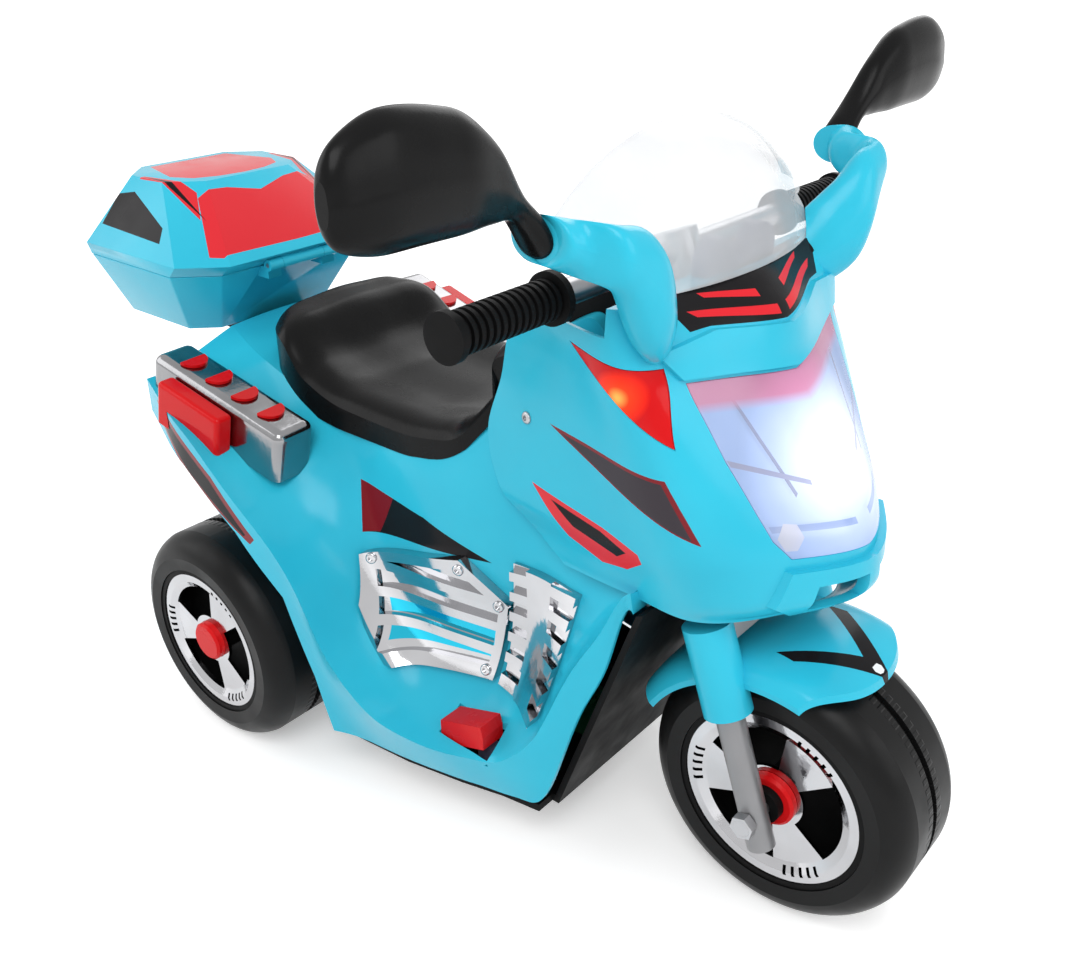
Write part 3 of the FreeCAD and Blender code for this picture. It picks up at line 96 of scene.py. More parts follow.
def new_finish(name):
    """A material with its node tree and its main shader."""
    finish = bpy.data.materials.new(name)
    finish.use_nodes = True
    return finish, finish.node_tree, finish.node_tree.nodes["Principled BSDF"]


def own_place(tree):
    """Where a point is on the piece, in metres."""
    return tree.nodes.new("ShaderNodeTexCoord").outputs["Object"]


def joined(tree, how, first, second):
    """Two values joined by one sum."""
    node = tree.nodes.new("ShaderNodeMath")
    node.operation = how
    tree.links.new(first, node.inputs[0])
    tree.links.new(second, node.inputs[1])
    return node.outputs[0]


def measured(tree, how, place, other=(0.0, 0.0, 0.0)):
    """One number from a place: its length, its distance from another place, or how far along a direction."""
    node = tree.nodes.new("ShaderNodeVectorMath")
    node.operation = how
    node.inputs[1].default_value = other
    tree.links.new(place, node.inputs[0])
    return node.outputs["Value"]


def spread(tree, source, low, high, start=0.3, end=0.7):
    """A value moved from one span to another, held at its ends."""
    span = tree.nodes.new("ShaderNodeMapRange")
    span.inputs["From Min"].default_value = start
    span.inputs["From Max"].default_value = end
    span.inputs["To Min"].default_value = low
    span.inputs["To Max"].default_value = high
    tree.links.new(source, span.inputs["Value"])
    return span.outputs["Result"]


# %% [markdown]
# A studio floor is a pale sweep of paper, so wide that its edge doesn't show.
# Paper that is lit until it looks white would also light the bike and wash its colours out.
# So the paper glows only for what the camera sees, also in mirrors and through glass.
# The glow rises with the distance, which hides the horizon. Near the bike it is low, and the shadow stays.

# %% Floor
floor_width = 80
paper_glow = (0.35, 0.9)
paper_glow_reach = (0.5, 2.5)


def seen_directly(tree):
    """1 for what the camera sees, also in a mirror or through glass, and 0 for what only lights the bike."""
    path = tree.nodes.new("ShaderNodeLightPath")
    mirrored = joined(tree, "MAXIMUM", path.outputs["Is Camera Ray"], path.outputs["Is Glossy Ray"])
    return joined(tree, "MAXIMUM", mirrored, path.outputs["Is Transmission Ray"])


def pale_paper():
    """Paper that looks white from anywhere and still takes the shadow."""
    paper, tree, shader = new_finish("pale_paper")
    shader.inputs["Base Color"].default_value = (0.92, 0.92, 0.92, 1)
    shader.inputs["Roughness"].default_value = 0.9
    shader.inputs["Specular IOR Level"].default_value = 0.0
    shader.inputs["Emission Color"].default_value = (1, 1, 1, 1)
    reach = measured(tree, "LENGTH", own_place(tree))
    glow = spread(tree, reach, *paper_glow, *paper_glow_reach)
    tree.links.new(joined(tree, "MULTIPLY", seen_directly(tree), glow), shader.inputs["Emission Strength"])
    return paper


bpy.ops.object.select_all(action="DESELECT")
bpy.ops.mesh.primitive_plane_add(size=floor_width, location=(0, 0, 0))
floor = bpy.context.object
floor.name = "floor"
floor.data.materials.append(pale_paper())
print("floor:", floor_width, "m wide")

# %% [markdown]
# The sky is white for the camera, mirrors and glass, and dimmer where it only lights the bike.
# One white sky for both would light the bike alike from all sides and leave it without shade.

# %% Sky
sky_light = 0.55
studio = bpy.context.scene
world = bpy.data.worlds.new("studio")
studio.world = world
world.use_nodes = True
world_tree = world.node_tree
lighting_sky = world_tree.nodes["Background"]
seen_sky = world_tree.nodes.new("ShaderNodeBackground")
for part, strength in ((lighting_sky, sky_light), (seen_sky, 1.0)):
    part.inputs["Color"].default_value = (1, 1, 1, 1)
    part.inputs["Strength"].default_value = strength
choose = world_tree.nodes.new("ShaderNodeMixShader")
world_tree.links.new(seen_directly(world_tree), choose.inputs[0])
world_tree.links.new(lighting_sky.outputs[0], choose.inputs[1])
world_tree.links.new(seen_sky.outputs[0], choose.inputs[2])
world_tree.links.new(choose.outputs[0], world_tree.nodes["World Output"].inputs["Surface"])
print("sky light:", sky_light)

# %% [markdown]
# Four large square lamps stand round the bike, as soft boxes do in a product studio.
# A sun or a small lamp would give hard shadows and tiny sharp glints on the plating.
# Each row of the table is a place, the point it aims at, its width in metres and its power in watts.

# %% Studio lamps
studio_lamps = {
    "key_lamp": ((0.9, -1.3, 1.9), (0, 0, 0.25), 1.2, 24),
    "fill_lamp": ((-1.6, -1.2, 1.3), (0, 0, 0.25), 1.4, 12),
    "rim_lamp": ((-0.6, 1.7, 1.6), (0, 0, 0.3), 1.4, 12),
    "nose_lamp": ((1.9, 0.3, 1.1), (0.1, 0, 0.3), 1.2, 10),
}
for name, (place, aim, width, watts) in studio_lamps.items():
    lamp_data = bpy.data.lights.new(name, "AREA")
    lamp_data.size = width
    lamp_data.energy = watts
    lamp = bpy.data.objects.new(name, lamp_data)
    studio.collection.objects.link(lamp)
    lamp.location = place
    lamp.rotation_mode = "QUATERNION"
    lamp.rotation_quaternion = (Vector(aim) - Vector(place)).to_track_quat("-Z", "Y")
print("lamps:", list(studio_lamps))

# %% [markdown]
# Blow-moulded plastic is one colour all through, with a faint ripple from the mould.
# A flat colour looks like paint from a tin, so each plastic has three small things added by noise:
# a slight change of tint, a change of gloss, and a ripple in the surface.

# %% Moulded plastic
tint_grain, gloss_grain, ripple_grain = 14, 40, 260
noise_detail = 3.0
ripple_strength = 0.6
faint_ripple = 0.00006


def place_noise(tree, grain):
    """Noise that is fixed to the piece."""
    noise = tree.nodes.new("ShaderNodeTexNoise")
    noise.inputs["Scale"].default_value = grain
    noise.inputs["Detail"].default_value = noise_detail
    tree.links.new(own_place(tree), noise.inputs["Vector"])
    return noise.outputs[0]


def blend_colour(tree, mask, under, over):
    """A colour, or a socket of one, covered by another where the mask is 1."""
    mix = tree.nodes.new("ShaderNodeMix")
    mix.data_type = "RGBA"
    tree.links.new(mask, mix.inputs[0])
    for slot, colour in ((6, under), (7, over)):
        if isinstance(colour, tuple):
            mix.inputs[slot].default_value = (*colour, 1)
        else:
            tree.links.new(colour, mix.inputs[slot])
    return mix.outputs[2]


def ripple(tree, shader, source, height):
    """A fine unevenness of the surface, in metres."""
    bump = tree.nodes.new("ShaderNodeBump")
    bump.inputs["Strength"].default_value = ripple_strength
    bump.inputs["Distance"].default_value = height
    tree.links.new(source, bump.inputs["Height"])
    tree.links.new(bump.outputs["Normal"], shader.inputs["Normal"])


def moulded(name, first, second, gloss, height=faint_ripple, metal=0.0, shine=0.5):
    """Moulded or plated plastic that drifts between two near tints and two roughnesses."""
    finish, tree, shader = new_finish(name)
    drift = spread(tree, place_noise(tree, tint_grain), 0.0, 1.0)
    tree.links.new(blend_colour(tree, drift, first, second), shader.inputs["Base Color"])
    tree.links.new(spread(tree, place_noise(tree, gloss_grain), *gloss), shader.inputs["Roughness"])
    shader.inputs["Metallic"].default_value = metal
    shader.inputs["Specular IOR Level"].default_value = shine
    ripple(tree, shader, place_noise(tree, ripple_grain), height)
    return finish


turquoise = ((0.026, 0.47, 0.65), (0.031, 0.51, 0.69))
body_gloss = (0.16, 0.26)
plastic_shine = 0.2
finishes = {"turquoise": moulded("turquoise_plastic", *turquoise, body_gloss, shine=plastic_shine)}
print("finish:", finishes["turquoise"].name)

# %% [markdown]
# Most solids keep one finish, and the table follows the material slots of the CAD record.
# Under bright paper a full shine turns black to grey and red to pink.
# So the coloured plastics outside have a low shine, and the black and red ones the lowest.
# Plating is metal in the shader, where the tint itself says how much light comes back.

# %% Finishes of the plain pieces


def greys(dark, light):
    """Two near tints of a slightly cool grey."""
    cool = 1.03
    return (dark, dark, dark * cool), (light, light, light * cool)


plating = greys(0.46, 0.59)
plating_gloss = (0.05, 0.13)
plating_ripple = 0.00012
red_tints = ((0.60, 0.006, 0.008), (0.68, 0.010, 0.012))
nylon_tints = ((0.68, 0.67, 0.63), (0.76, 0.75, 0.71))
board_tints = ((0.01, 0.12, 0.04), (0.02, 0.16, 0.06))
lavender_tints = ((0.10, 0.10, 0.17), (0.14, 0.14, 0.22))
tyre_look = (*greys(0.005, 0.009), (0.3, 0.46), 0.0002, 0.0, 0.14)
lens_look = ((0.58, 0.003, 0.005), (0.66, 0.006, 0.008), (0.06, 0.14), faint_ripple, 0.0, 0.14)
finishes.update({
    "black_gloss": moulded("gloss_black_plastic", *greys(0.004, 0.007), (0.2, 0.32), shine=0.1),
    "black_matte": moulded("matt_black_plastic", *greys(0.005, 0.009), (0.42, 0.58), shine=0.06),
    "black_grip": moulded("grip_rubber", *greys(0.005, 0.009), (0.45, 0.6), shine=0.06),
    "black_tyre": moulded("tyre_plastic", *tyre_look),
    "chrome": moulded("chrome_plating", *plating, plating_gloss, plating_ripple, 1.0),
    "red": moulded("red_plastic", *red_tints, (0.2, 0.32), shine=0.11),
    "red_lens": moulded("red_lens_plastic", *lens_look),
    "mirror": moulded("mirror_film", *greys(0.46, 0.52), (0.04, 0.09), 0.00001, 1.0),
    "grey_metal": moulded("painted_grey_steel", *greys(0.21, 0.27), (0.3, 0.45), 0.00005, 0.6),
    "steel": moulded("zinc_steel", *greys(0.4, 0.5), (0.25, 0.4), 0.00004, 1.0),
    "white_nylon": moulded("white_nylon", *nylon_tints, (0.35, 0.5)),
    "green_board": moulded("green_board", *board_tints, (0.3, 0.5)),
    "grey_plastic": moulded("lavender_grey_plastic", *lavender_tints, (0.35, 0.5)),
})
print("finishes so far:", len(finishes))

# %% [markdown]
# The windscreen is a thin frosted bubble, and the headlight's bulbs are clear.
# Real glass would bend the light and need many samples, and such a thin wall hardly bends what is behind it.
# So these finishes only let a part of the light straight through.

# %% Clear finishes
clear_gloss = (0.10, 0.2)


def clear_plastic(name, first, second, cover):
    """Clear or frosted plastic; cover is the share of light that it stops."""
    finish = moulded(name, first, second, clear_gloss)
    finish.node_tree.nodes["Principled BSDF"].inputs["Alpha"].default_value = cover
    return finish


def dress(node, finish):
    """Gives a solid its finish."""
    nodes[node].data.materials.clear()
    nodes[node].data.materials.append(finish)


finishes["clear"] = clear_plastic("frosted_screen", (0.58, 0.60, 0.63), (0.68, 0.70, 0.72), 0.42)
finishes["clear_lamp"] = clear_plastic("lamp_glass", (0.88, 0.88, 0.94), (0.93, 0.93, 0.98), 0.3)
for piece in frame["record"]["subparts"]:
    dress(piece["node"], finishes[piece["material_slot"]])
print("finishes:", len(finishes), "on", len(nodes), "solids")

# %% [markdown]
# Stickers are printed film, thinner than paper, that follows the moulding.
# They could be thin meshes laid over the surface, but those shimmer where they nearly touch it.
# Here a sticker is part of the plastic's own finish: the area inside an outline gets another colour.
# An outline is a loop of corners in millimetres, seen along one axis.
# A point is inside when it lies on the inner side of every edge.
# Both sides have the same stickers, so the right half is folded onto the left and each is drawn once.

# %% Sticker outlines


def changed(tree, how, source, amount=0.0):
    """A value changed by one sum with a fixed amount."""
    node = tree.nodes.new("ShaderNodeMath")
    node.operation = how
    node.inputs[1].default_value = amount
    tree.links.new(source, node.inputs[0])
    return node.outputs[0]


def folded(tree, what):
    """A place or a direction with its right half turned onto the left."""
    split = tree.nodes.new("ShaderNodeSeparateXYZ")
    tree.links.new(own_place(tree), split.inputs[0])
    turn = tree.nodes.new("ShaderNodeCombineXYZ")
    turn.inputs[0].default_value = 1.0
    turn.inputs[2].default_value = 1.0
    tree.links.new(changed(tree, "SIGN", split.outputs[1]), turn.inputs[1])
    fold = tree.nodes.new("ShaderNodeVectorMath")
    fold.operation = "MULTIPLY"
    tree.links.new(what, fold.inputs[0])
    tree.links.new(turn.outputs[0], fold.inputs[1])
    return fold.outputs[0]


def folded_place(tree):
    """The place on the left half that a point of either half matches."""
    return folded(tree, own_place(tree))


def past_edge(tree, place, direction, limit):
    """1 where a place is further along a direction than the limit."""
    return changed(tree, "GREATER_THAN", measured(tree, "DOT_PRODUCT", place, direction), limit)


def outline_mask(tree, place, axes, corners, beyond=None):
    """1 inside a convex outline along two axes; beyond is a further direction and limit."""
    points = [(a / 1000, b / 1000) for a, b in corners]
    edges = list(zip(points, points[1:] + points[:1]))
    turn = sum(p[0] * q[1] - q[0] * p[1] for p, q in edges)
    way = 1 if turn > 0 else -1
    mask = None
    for p, q in edges:
        inward = (-(q[1] - p[1]) * way, (q[0] - p[0]) * way)
        direction = [0.0, 0.0, 0.0]
        direction["xyz".index(axes[0])] = inward[0]
        direction["xyz".index(axes[1])] = inward[1]
        side = past_edge(tree, place, direction, inward[0] * p[0] + inward[1] * p[1])
        mask = side if mask is None else joined(tree, "MULTIPLY", mask, side)
    if beyond:
        mask = joined(tree, "MULTIPLY", mask, past_edge(tree, place, *beyond))
    return mask


# %% [markdown]
# The fairing carries a black hood panel with red bars.
# Each of its sides has a dark wedge under the indicator and a red drop below that.
# All are plain shapes of the maker's own, in the colours and at the size that such stickers have.
# The mouldings are hollow, so a sticker is kept off any surface that looks the other way.
# Black film has less gloss than the plastic round it.

# %% Fairing stickers
film_black = (0.010, 0.009, 0.010)
film_grey = (0.050, 0.042, 0.050)
film_red = (0.70, 0.022, 0.032)
film_dark_red = (0.20, 0.008, 0.014)
dark_film_limit = 0.06
dark_film_shine = 0.08


def stickered(name, tints, gloss, stickers):
    """Plastic with stickers; each is a film colour, two axes, corners and perhaps a further limit."""
    finish = moulded(name, *tints, gloss, shine=plastic_shine)
    tree = finish.node_tree
    shader = tree.nodes["Principled BSDF"]
    colour = shader.inputs["Base Color"].links[0].from_socket
    place = folded_place(tree)
    facing = folded(tree, tree.nodes.new("ShaderNodeTexCoord").outputs["Normal"])
    dark = None
    for film, axes, corners, *beyond in stickers:
        mask = outline_mask(tree, place, axes, corners, *beyond)
        outside = [0.0 if axis in axes else 1.0 for axis in "xyz"]
        mask = joined(tree, "MULTIPLY", mask, past_edge(tree, facing, outside, 0.0))
        colour = blend_colour(tree, mask, colour, film)
        if max(film) < dark_film_limit:
            dark = mask if dark is None else joined(tree, "MAXIMUM", dark, mask)
    tree.links.new(colour, shader.inputs["Base Color"])
    if dark is not None:
        shine = spread(tree, dark, plastic_shine, dark_film_shine, 0.0, 1.0)
        tree.links.new(shine, shader.inputs["Specular IOR Level"])
    return finish


fairing_stickers = [
    (film_black, "yz", [(-1, 431.5), (60, 438.2), (60, 459), (-1, 459)]),
    (film_black, "yz", [(59.9, 438.2), (76, 438), (84, 450), (82, 459), (59.9, 459)]),
    (film_red, "yz", [(5, 435), (66, 444), (72, 448), (5, 440.5)]),
    (film_red, "yz", [(14, 446), (54, 452), (58, 455), (14, 450)]),
    (film_dark_red, "xz", [(152, 365), (248, 359), (269, 318)]),
    (film_grey, "xz", [(162, 362), (246, 356.5), (264, 321)]),
    (film_red, "xz", [(133, 316), (194, 304), (223, 295), (225, 288), (210, 276), (188, 272), (161, 283)]),
    (film_black, "xz", [(150, 309), (192, 300), (212, 291), (203, 284), (168, 294)]),
]
dress("fairing", stickered("fairing_plastic", turquoise, body_gloss, fairing_stickers))
print("fairing outlines:", len(fairing_stickers))

# %% [markdown]
# The body has a two-colour wedge over each engine trim and a long stripe along each wing.
# An outline seen from the side goes through the whole body, and could also mark what lies further in.
# The wings stand furthest out, so a limit on the distance from the middle keeps the stripe to them.

# %% Body stickers
outward = (0.0, 1.0, 0.0)
on_the_wing = (outward, 0.157)
wing_stripe = [(-214, 304), (-200, 303), (-128, 266), (-82, 227), (-88, 221), (-166, 256), (-206, 286)]
wing_stripe_middle = [(-207, 298), (-199, 297), (-132, 262), (-92, 228), (-95, 226), (-163, 259), (-200, 286)]
shell_stickers = [
    (film_black, "xz", [(-44, 261), (25, 251), (84, 229), (-37, 220)]),
    (film_dark_red, "xz", [(-44, 261), (-8, 255.8), (-24, 222), (-37, 220)]),
    (film_dark_red, "xz", wing_stripe, on_the_wing),
    (film_black, "xz", wing_stripe_middle, on_the_wing),
]
dress("main_shell", stickered("body_plastic", turquoise, body_gloss, shell_stickers))
print("body outlines:", len(shell_stickers))

# %% [markdown]
# The top box is a blown shell with soft corners, but its solids have plain flat facets.
# A bevel on every edge would also eat the hinge knuckles, so only the long edges of the shell are rounded.
# That is done on a merged copy of each solid, which then stands for it. Rounding only takes material away.

# %% Rounding a shell
edge_lift = 0.0005
shortest_edge = 0.02
merge_reach = 0.00001


def outer_edge(skin, ends, centre):
    """True if nothing of the piece lies beyond the middle of an edge, seen from the piece's centre."""
    middle = (ends[0] + ends[1]) / 2
    away = (middle - centre).normalized()
    hit = skin.ray_cast(middle + away * edge_lift, away)[0]
    return not hit


def merged_copy(node):
    """A copy of a solid at the origin, with its loose triangles joined into flat faces."""
    bpy.ops.object.select_all(action="DESELECT")
    skin = nodes[node].copy()
    skin.data = nodes[node].data.copy()
    skin.name = node + "_skin"
    studio.collection.objects.link(skin)
    skin.parent = None
    skin.matrix_world = Matrix.Identity(4)
    skin.select_set(True)
    bpy.context.view_layer.objects.active = skin
    bpy.ops.object.mode_set(mode="EDIT")
    bpy.ops.mesh.select_mode(type="EDGE")
    bpy.ops.mesh.select_all(action="SELECT")
    bpy.ops.mesh.remove_doubles(threshold=merge_reach)
    bpy.ops.mesh.dissolve_limited(angle_limit=math.radians(1))
    bpy.ops.mesh.select_all(action="DESELECT")
    bpy.ops.object.mode_set(mode="OBJECT")
    return skin


def rounded_copy(node, body, radius, low, high):
    """A copy of a solid with the edges of its outer shell rounded, between two heights."""
    skin = merged_copy(node)
    points = skin.data.vertices
    centre = sum((point.co for point in points), Vector()) / len(points)
    for edge in skin.data.edges:
        ends = [points[i].co for i in edge.vertices]
        long_enough = (ends[0] - ends[1]).length > shortest_edge
        between = all(low < end.z < high for end in ends)
        edge.select = long_enough and between and outer_edge(skin, ends, centre)
    bpy.ops.object.mode_set(mode="EDIT")
    bpy.ops.mesh.bevel(offset=radius, segments=5, affect="EDGES", clamp_overlap=True)
    bpy.ops.object.mode_set(mode="OBJECT")
    bpy.ops.object.shade_smooth_by_angle(angle=math.radians(30))
    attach(skin, body)
    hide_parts(node)
    return skin


# %% [markdown]
# The lid and the base each have an open rim where they meet.
# Their rims must still match, so the rounding stops short of the rim of each.

# %% Top box corners
lid_low, lid_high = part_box("box_lid")
base_low, base_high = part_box("box_base")
lid_round, lid_rim = 0.009, 0.008
base_round, base_rim = 0.008, 0.004
past_end = 0.001
lid_skin = rounded_copy("box_lid", "box_lid", lid_round, lid_low.z + lid_rim, lid_high.z + past_end)
base_skin = rounded_copy("box_base", "body", base_round, base_low.z - past_end, base_high.z - base_rim)
print("top box faces:", len(lid_skin.data.polygons), len(base_skin.data.polygons))

# %% [markdown]
# The lid has a dark window in each side, a red panel on top and a red band down its front slope.
# They could be one wrap-round print, but the facets would bend it, so each is an outline of its own.
# Limits keep the window out on the sides, the panel up on the top and the band above the rim.

# %% Top box stickers
upward = (0.0, 0.0, 1.0)
lid_window = [(-352, 437), (-330, 441), (-272, 421), (-268, 410), (-358, 413)]
lid_top_panel = [(-362, -1), (-362, 40), (-310, 54), (-290, 44), (-281, 24), (-278, -1)]
lid_front_band = [(-262, -1), (-264, 30), (-270, 56), (-222, 84), (-213, 76), (-212, -1)]
lid_stickers = [
    (film_black, "xz", lid_window, (outward, 0.062)),
    (film_red, "xy", lid_top_panel, (upward, 0.4505)),
    (film_red, "xy", lid_front_band, (upward, 0.401)),
    (film_red, "xy", [(-270, 56), (-330, 66), (-330, 71), (-250, 69)]),
    (film_black, "xy", [(-246, 66), (-296, 64), (-330, 68), (-290, 68.5)]),
]
lid_skin.data.materials.clear()
lid_skin.data.materials.append(stickered("lid_plastic", turquoise, body_gloss, lid_stickers))
print("lid outlines:", len(lid_stickers))

# %% [markdown]
# A black chevron with a pale dot points forward on the beak of the front fender.
# It is drawn from above, as half a chevron that the fold makes whole.

# %% Fender stickers
film_white = (0.85, 0.85, 0.85)
fender_stickers = [
    (film_black, "xy", [(292, 36), (306, 38), (360, -1), (338, -1)]),
    (film_white, "xy", [(345, -1), (345, 3), (348, 4.5), (351, 3), (352, -1)]),
]
dress("front_fender", stickered("fender_plastic", turquoise, body_gloss, fender_stickers))
print("fender outlines:", len(fender_stickers))

# %% [markdown]
# The crankcase trim is plated, with the body colour showing between its ribs.
# The trim could be cut open there, but that would leave thin strips.
# So the trim stays whole, and the colour is drawn on it like a sticker.

# %% Engine trim
crankcase_panels = [
    (turquoise[0], "xz", [(-4, 138), (84, 146), (85, 150.5), (-6, 150.5)]),
    (turquoise[0], "xz", [(-8, 159.5), (87, 159.5), (88, 172.4), (-12, 172.4)]),
]
crankcase = stickered("crankcase_plating", plating, plating_gloss, crankcase_panels)
crankcase.node_tree.nodes["Principled BSDF"].inputs["Metallic"].default_value = 1.0
dress("crankcase_trims", crankcase)
print("crankcase panels:", len(crankcase_panels))

# %% [markdown]
# The tail light housings are plated too, but they look up at the lamps, and bright plating there turns white.
# So their plating is darker than the other chrome, painted shade that keeps their outline against pale paper.

# %% Tail light housings
# Painted shade: the same chrome as elsewhere, dimmed so the lamps' reflection doesn't turn the housings
# white.
shaded_plating = moulded("shaded_plating", *greys(0.24, 0.34), (0.10, 0.2), plating_ripple, 1.0)
for hand in ("right", "left"):
    dress("tail_housing_" + hand, shaded_plating)
print("tail light housings:", shaded_plating.name)

# %% [markdown]
# Tyres of these toys are blown plastic with a shallow tread: short ribs across the crown, beside the groove.
# Ribs as solids would be hundreds of tiny blocks. A wave round the axle does it in the finish,
# with a mask that keeps the ribs to the crown of the tyre.

# %% Tyre tread
rib_count = 90
rib_flank = (-0.4, 0.4)
rib_height = 0.0012
crown_edge = (0.0085, 0.0095)


def ribbed_tyre(name, centre):
    """Black tyre plastic with ribs round an axle; the tyre's groove runs through the centre."""
    finish = moulded(name, *tyre_look)
    tree = finish.node_tree
    shader = tree.nodes["Principled BSDF"]
    split = tree.nodes.new("ShaderNodeSeparateXYZ")
    tree.links.new(own_place(tree), split.inputs[0])
    along, across, rise = (changed(tree, "ADD", split.outputs[i], -centre[i]) for i in range(3))
    angle = joined(tree, "ARCTAN2", rise, along)
    wave = changed(tree, "SINE", changed(tree, "MULTIPLY", angle, rib_count))
    crown = spread(tree, changed(tree, "ABSOLUTE", across), 1.0, 0.0, *crown_edge)
    ribs = joined(tree, "MULTIPLY", spread(tree, wave, 0.0, 1.0, *rib_flank), crown)
    ripple(tree, shader, ribs, rib_height)
    return finish


for tyre in ("front_tyre", "rear_tyre_right", "rear_tyre_left"):
    tyre_low, tyre_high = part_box(tyre)
    tyre_centre = (tyre_low + tyre_high) / 2
    dress(tyre, ribbed_tyre(tyre + "_plastic", tyre_centre))
    print(tyre, "centre:", [round(v, 4) for v in tyre_centre])

# %% [markdown]
# Screws hold the fairing and bolts hold the crankcase trims. Their heads are too fine for the solids.
# Their places could be typed in, but then a head floats or sinks where the surface slopes.
# So a line is cast at the solid from each side, and where it hits, it tells the place and the slope.

# %% Screw places
fairing_screw = (129, 361)
fairing_screw_radius = 0.0042
crankcase_bolts = ((-24, 203), (61, 220), (92, 196), (82, 137.5))
crankcase_bolt_radius = 0.0046


def surface_spot(node, place, side):
    """Where a line from one side, at (x, z) in millimetres, first meets a solid, and how that faces there."""
    start = Vector((place[0] / 1000, side, place[1] / 1000))
    hit, spot, facing, _ = nodes[node].ray_cast(start, Vector((0, -side, 0)))
    if not hit:
        raise RuntimeError(node + " has no surface at " + str(place))
    return spot, facing


screws = []
for side, hand in ((-1, "right"), (1, "left")):
    seat = surface_spot("fairing", fairing_screw, side)
    screws.append(("fairing_screw_" + hand, *seat, fairing_screw_radius, finishes["steel"]))
    for number, place in enumerate(crankcase_bolts):
        seat = surface_spot("crankcase_trims", place, side)
        bolt = "crankcase_bolt_" + hand + "_" + str(number)
        screws.append((bolt, *seat, crankcase_bolt_radius, finishes["chrome"]))
print("screw places:", len(screws))

# %% [markdown]
# A plain cylinder would look like a peg. A real head has a domed rim and a sunk middle for the driver.
# So the cylinder's top edge is bevelled, and its top face is then inset and pushed in.
# The sizes inside a head are shares of its radius, so one helper makes a head of any size.

# %% Screw heads
head_height, rim_round, rim_width, socket_depth = 0.9, 0.3, 0.25, 0.35
looks_up, looks_straight_up = 0.9, 0.99


def select_faces(piece, wanted):
    """Selects the faces of a piece that pass a test, and leaves it in edit mode."""
    bpy.ops.object.mode_set(mode="EDIT")
    bpy.ops.mesh.select_mode(type="FACE")
    bpy.ops.mesh.select_all(action="DESELECT")
    bpy.ops.object.mode_set(mode="OBJECT")
    for face in piece.data.polygons:
        face.select = wanted(face)
    bpy.ops.object.mode_set(mode="EDIT")


def pan_screw(name, spot, facing, radius, finish, body):
    """A screw head with a domed rim and a round socket, set on a surface."""
    bpy.ops.object.select_all(action="DESELECT")
    bpy.ops.mesh.primitive_cylinder_add(vertices=24, radius=radius, depth=radius * head_height)
    screw = bpy.context.object
    screw.name = name
    select_faces(screw, lambda face: face.normal.z > looks_up)
    bpy.ops.mesh.bevel(offset=radius * rim_round, segments=3, affect="EDGES")
    bpy.ops.object.mode_set(mode="OBJECT")
    select_faces(screw, lambda face: face.normal.z > looks_straight_up)
    bpy.ops.mesh.inset(thickness=radius * rim_width)
    bpy.ops.mesh.extrude_region_move(TRANSFORM_OT_translate={"value": (0, 0, -radius * socket_depth)})
    bpy.ops.object.mode_set(mode="OBJECT")
    bpy.ops.object.shade_smooth_by_angle(angle=math.radians(40))
    screw.rotation_mode = "QUATERNION"
    screw.rotation_quaternion = facing.to_track_quat("Z", "Y")
    screw.location = spot
    bpy.ops.object.transform_apply(location=True, rotation=True, scale=True)
    screw.data.materials.append(finish)
    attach(screw, body)


for head in screws:
    pan_screw(*head, "body")
print("screws:", [head[0] for head in screws])

# %% [markdown]
# Behind the screen the rider sees two round dials, sunk to a little below their middle in the fairing's top.
# A dial's face is dark, with pale ticks, and red ones at the end of the scale.
# Ticks could be tiny boxes, but a wave of the angle round the middle draws them on the face.

# %% Dial face
gauge_low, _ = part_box("gauge_cluster")
dial_radius = 0.0138
dial_height = 0.464
dial_tints = ((0.010, 0.010, 0.014), (0.016, 0.016, 0.020))
tick_count = 18
tick_flank = (0.72, 0.8)
tick_start_squared = (0.0084 ** 2, 0.0088 ** 2)
red_scale_end = (0.55, 0.6)


def dial_face(name, middle):
    """Dark dial finish with ticks round a middle (y, z)."""
    finish = moulded(name, *dial_tints, (0.3, 0.4), shine=0.3)
    tree = finish.node_tree
    shader = tree.nodes["Principled BSDF"]
    split = tree.nodes.new("ShaderNodeSeparateXYZ")
    tree.links.new(own_place(tree), split.inputs[0])
    across = changed(tree, "ADD", split.outputs[1], -middle[0])
    rise = changed(tree, "ADD", split.outputs[2], -middle[1])
    angle = joined(tree, "ARCTAN2", rise, across)
    wave = changed(tree, "SINE", changed(tree, "MULTIPLY", angle, tick_count))
    square_across = joined(tree, "MULTIPLY", across, across)
    square_rise = joined(tree, "MULTIPLY", rise, rise)
    ring = spread(tree, joined(tree, "ADD", square_across, square_rise), 0.0, 1.0, *tick_start_squared)
    ticks = joined(tree, "MULTIPLY", spread(tree, wave, 0.0, 1.0, *tick_flank), ring)
    mark = blend_colour(tree, spread(tree, angle, 1.0, 0.0, *red_scale_end), film_white, film_red)
    base = shader.inputs["Base Color"].links[0].from_socket
    tree.links.new(blend_colour(tree, ticks, base, mark), shader.inputs["Base Color"])
    return finish


print("dials on", [round(v, 4) for v in gauge_low])

# %% [markdown]
# A printed disc would look flat from the saddle, so each dial is a cup with a raised rim and a sunk face.
# It starts as a cylinder on its side. The lower part is cut off level just above the fairing,
# and then the face is inset and pushed in.

# %% Dial cup
dial_across = 0.024
dial_depth = 0.0016
dial_floor = gauge_low.z + 0.0006
dial_rim = dial_radius * 0.09
face_sink = dial_depth * 0.5
face_limit = gauge_low.x - dial_depth * 0.6
looks_back = -0.9


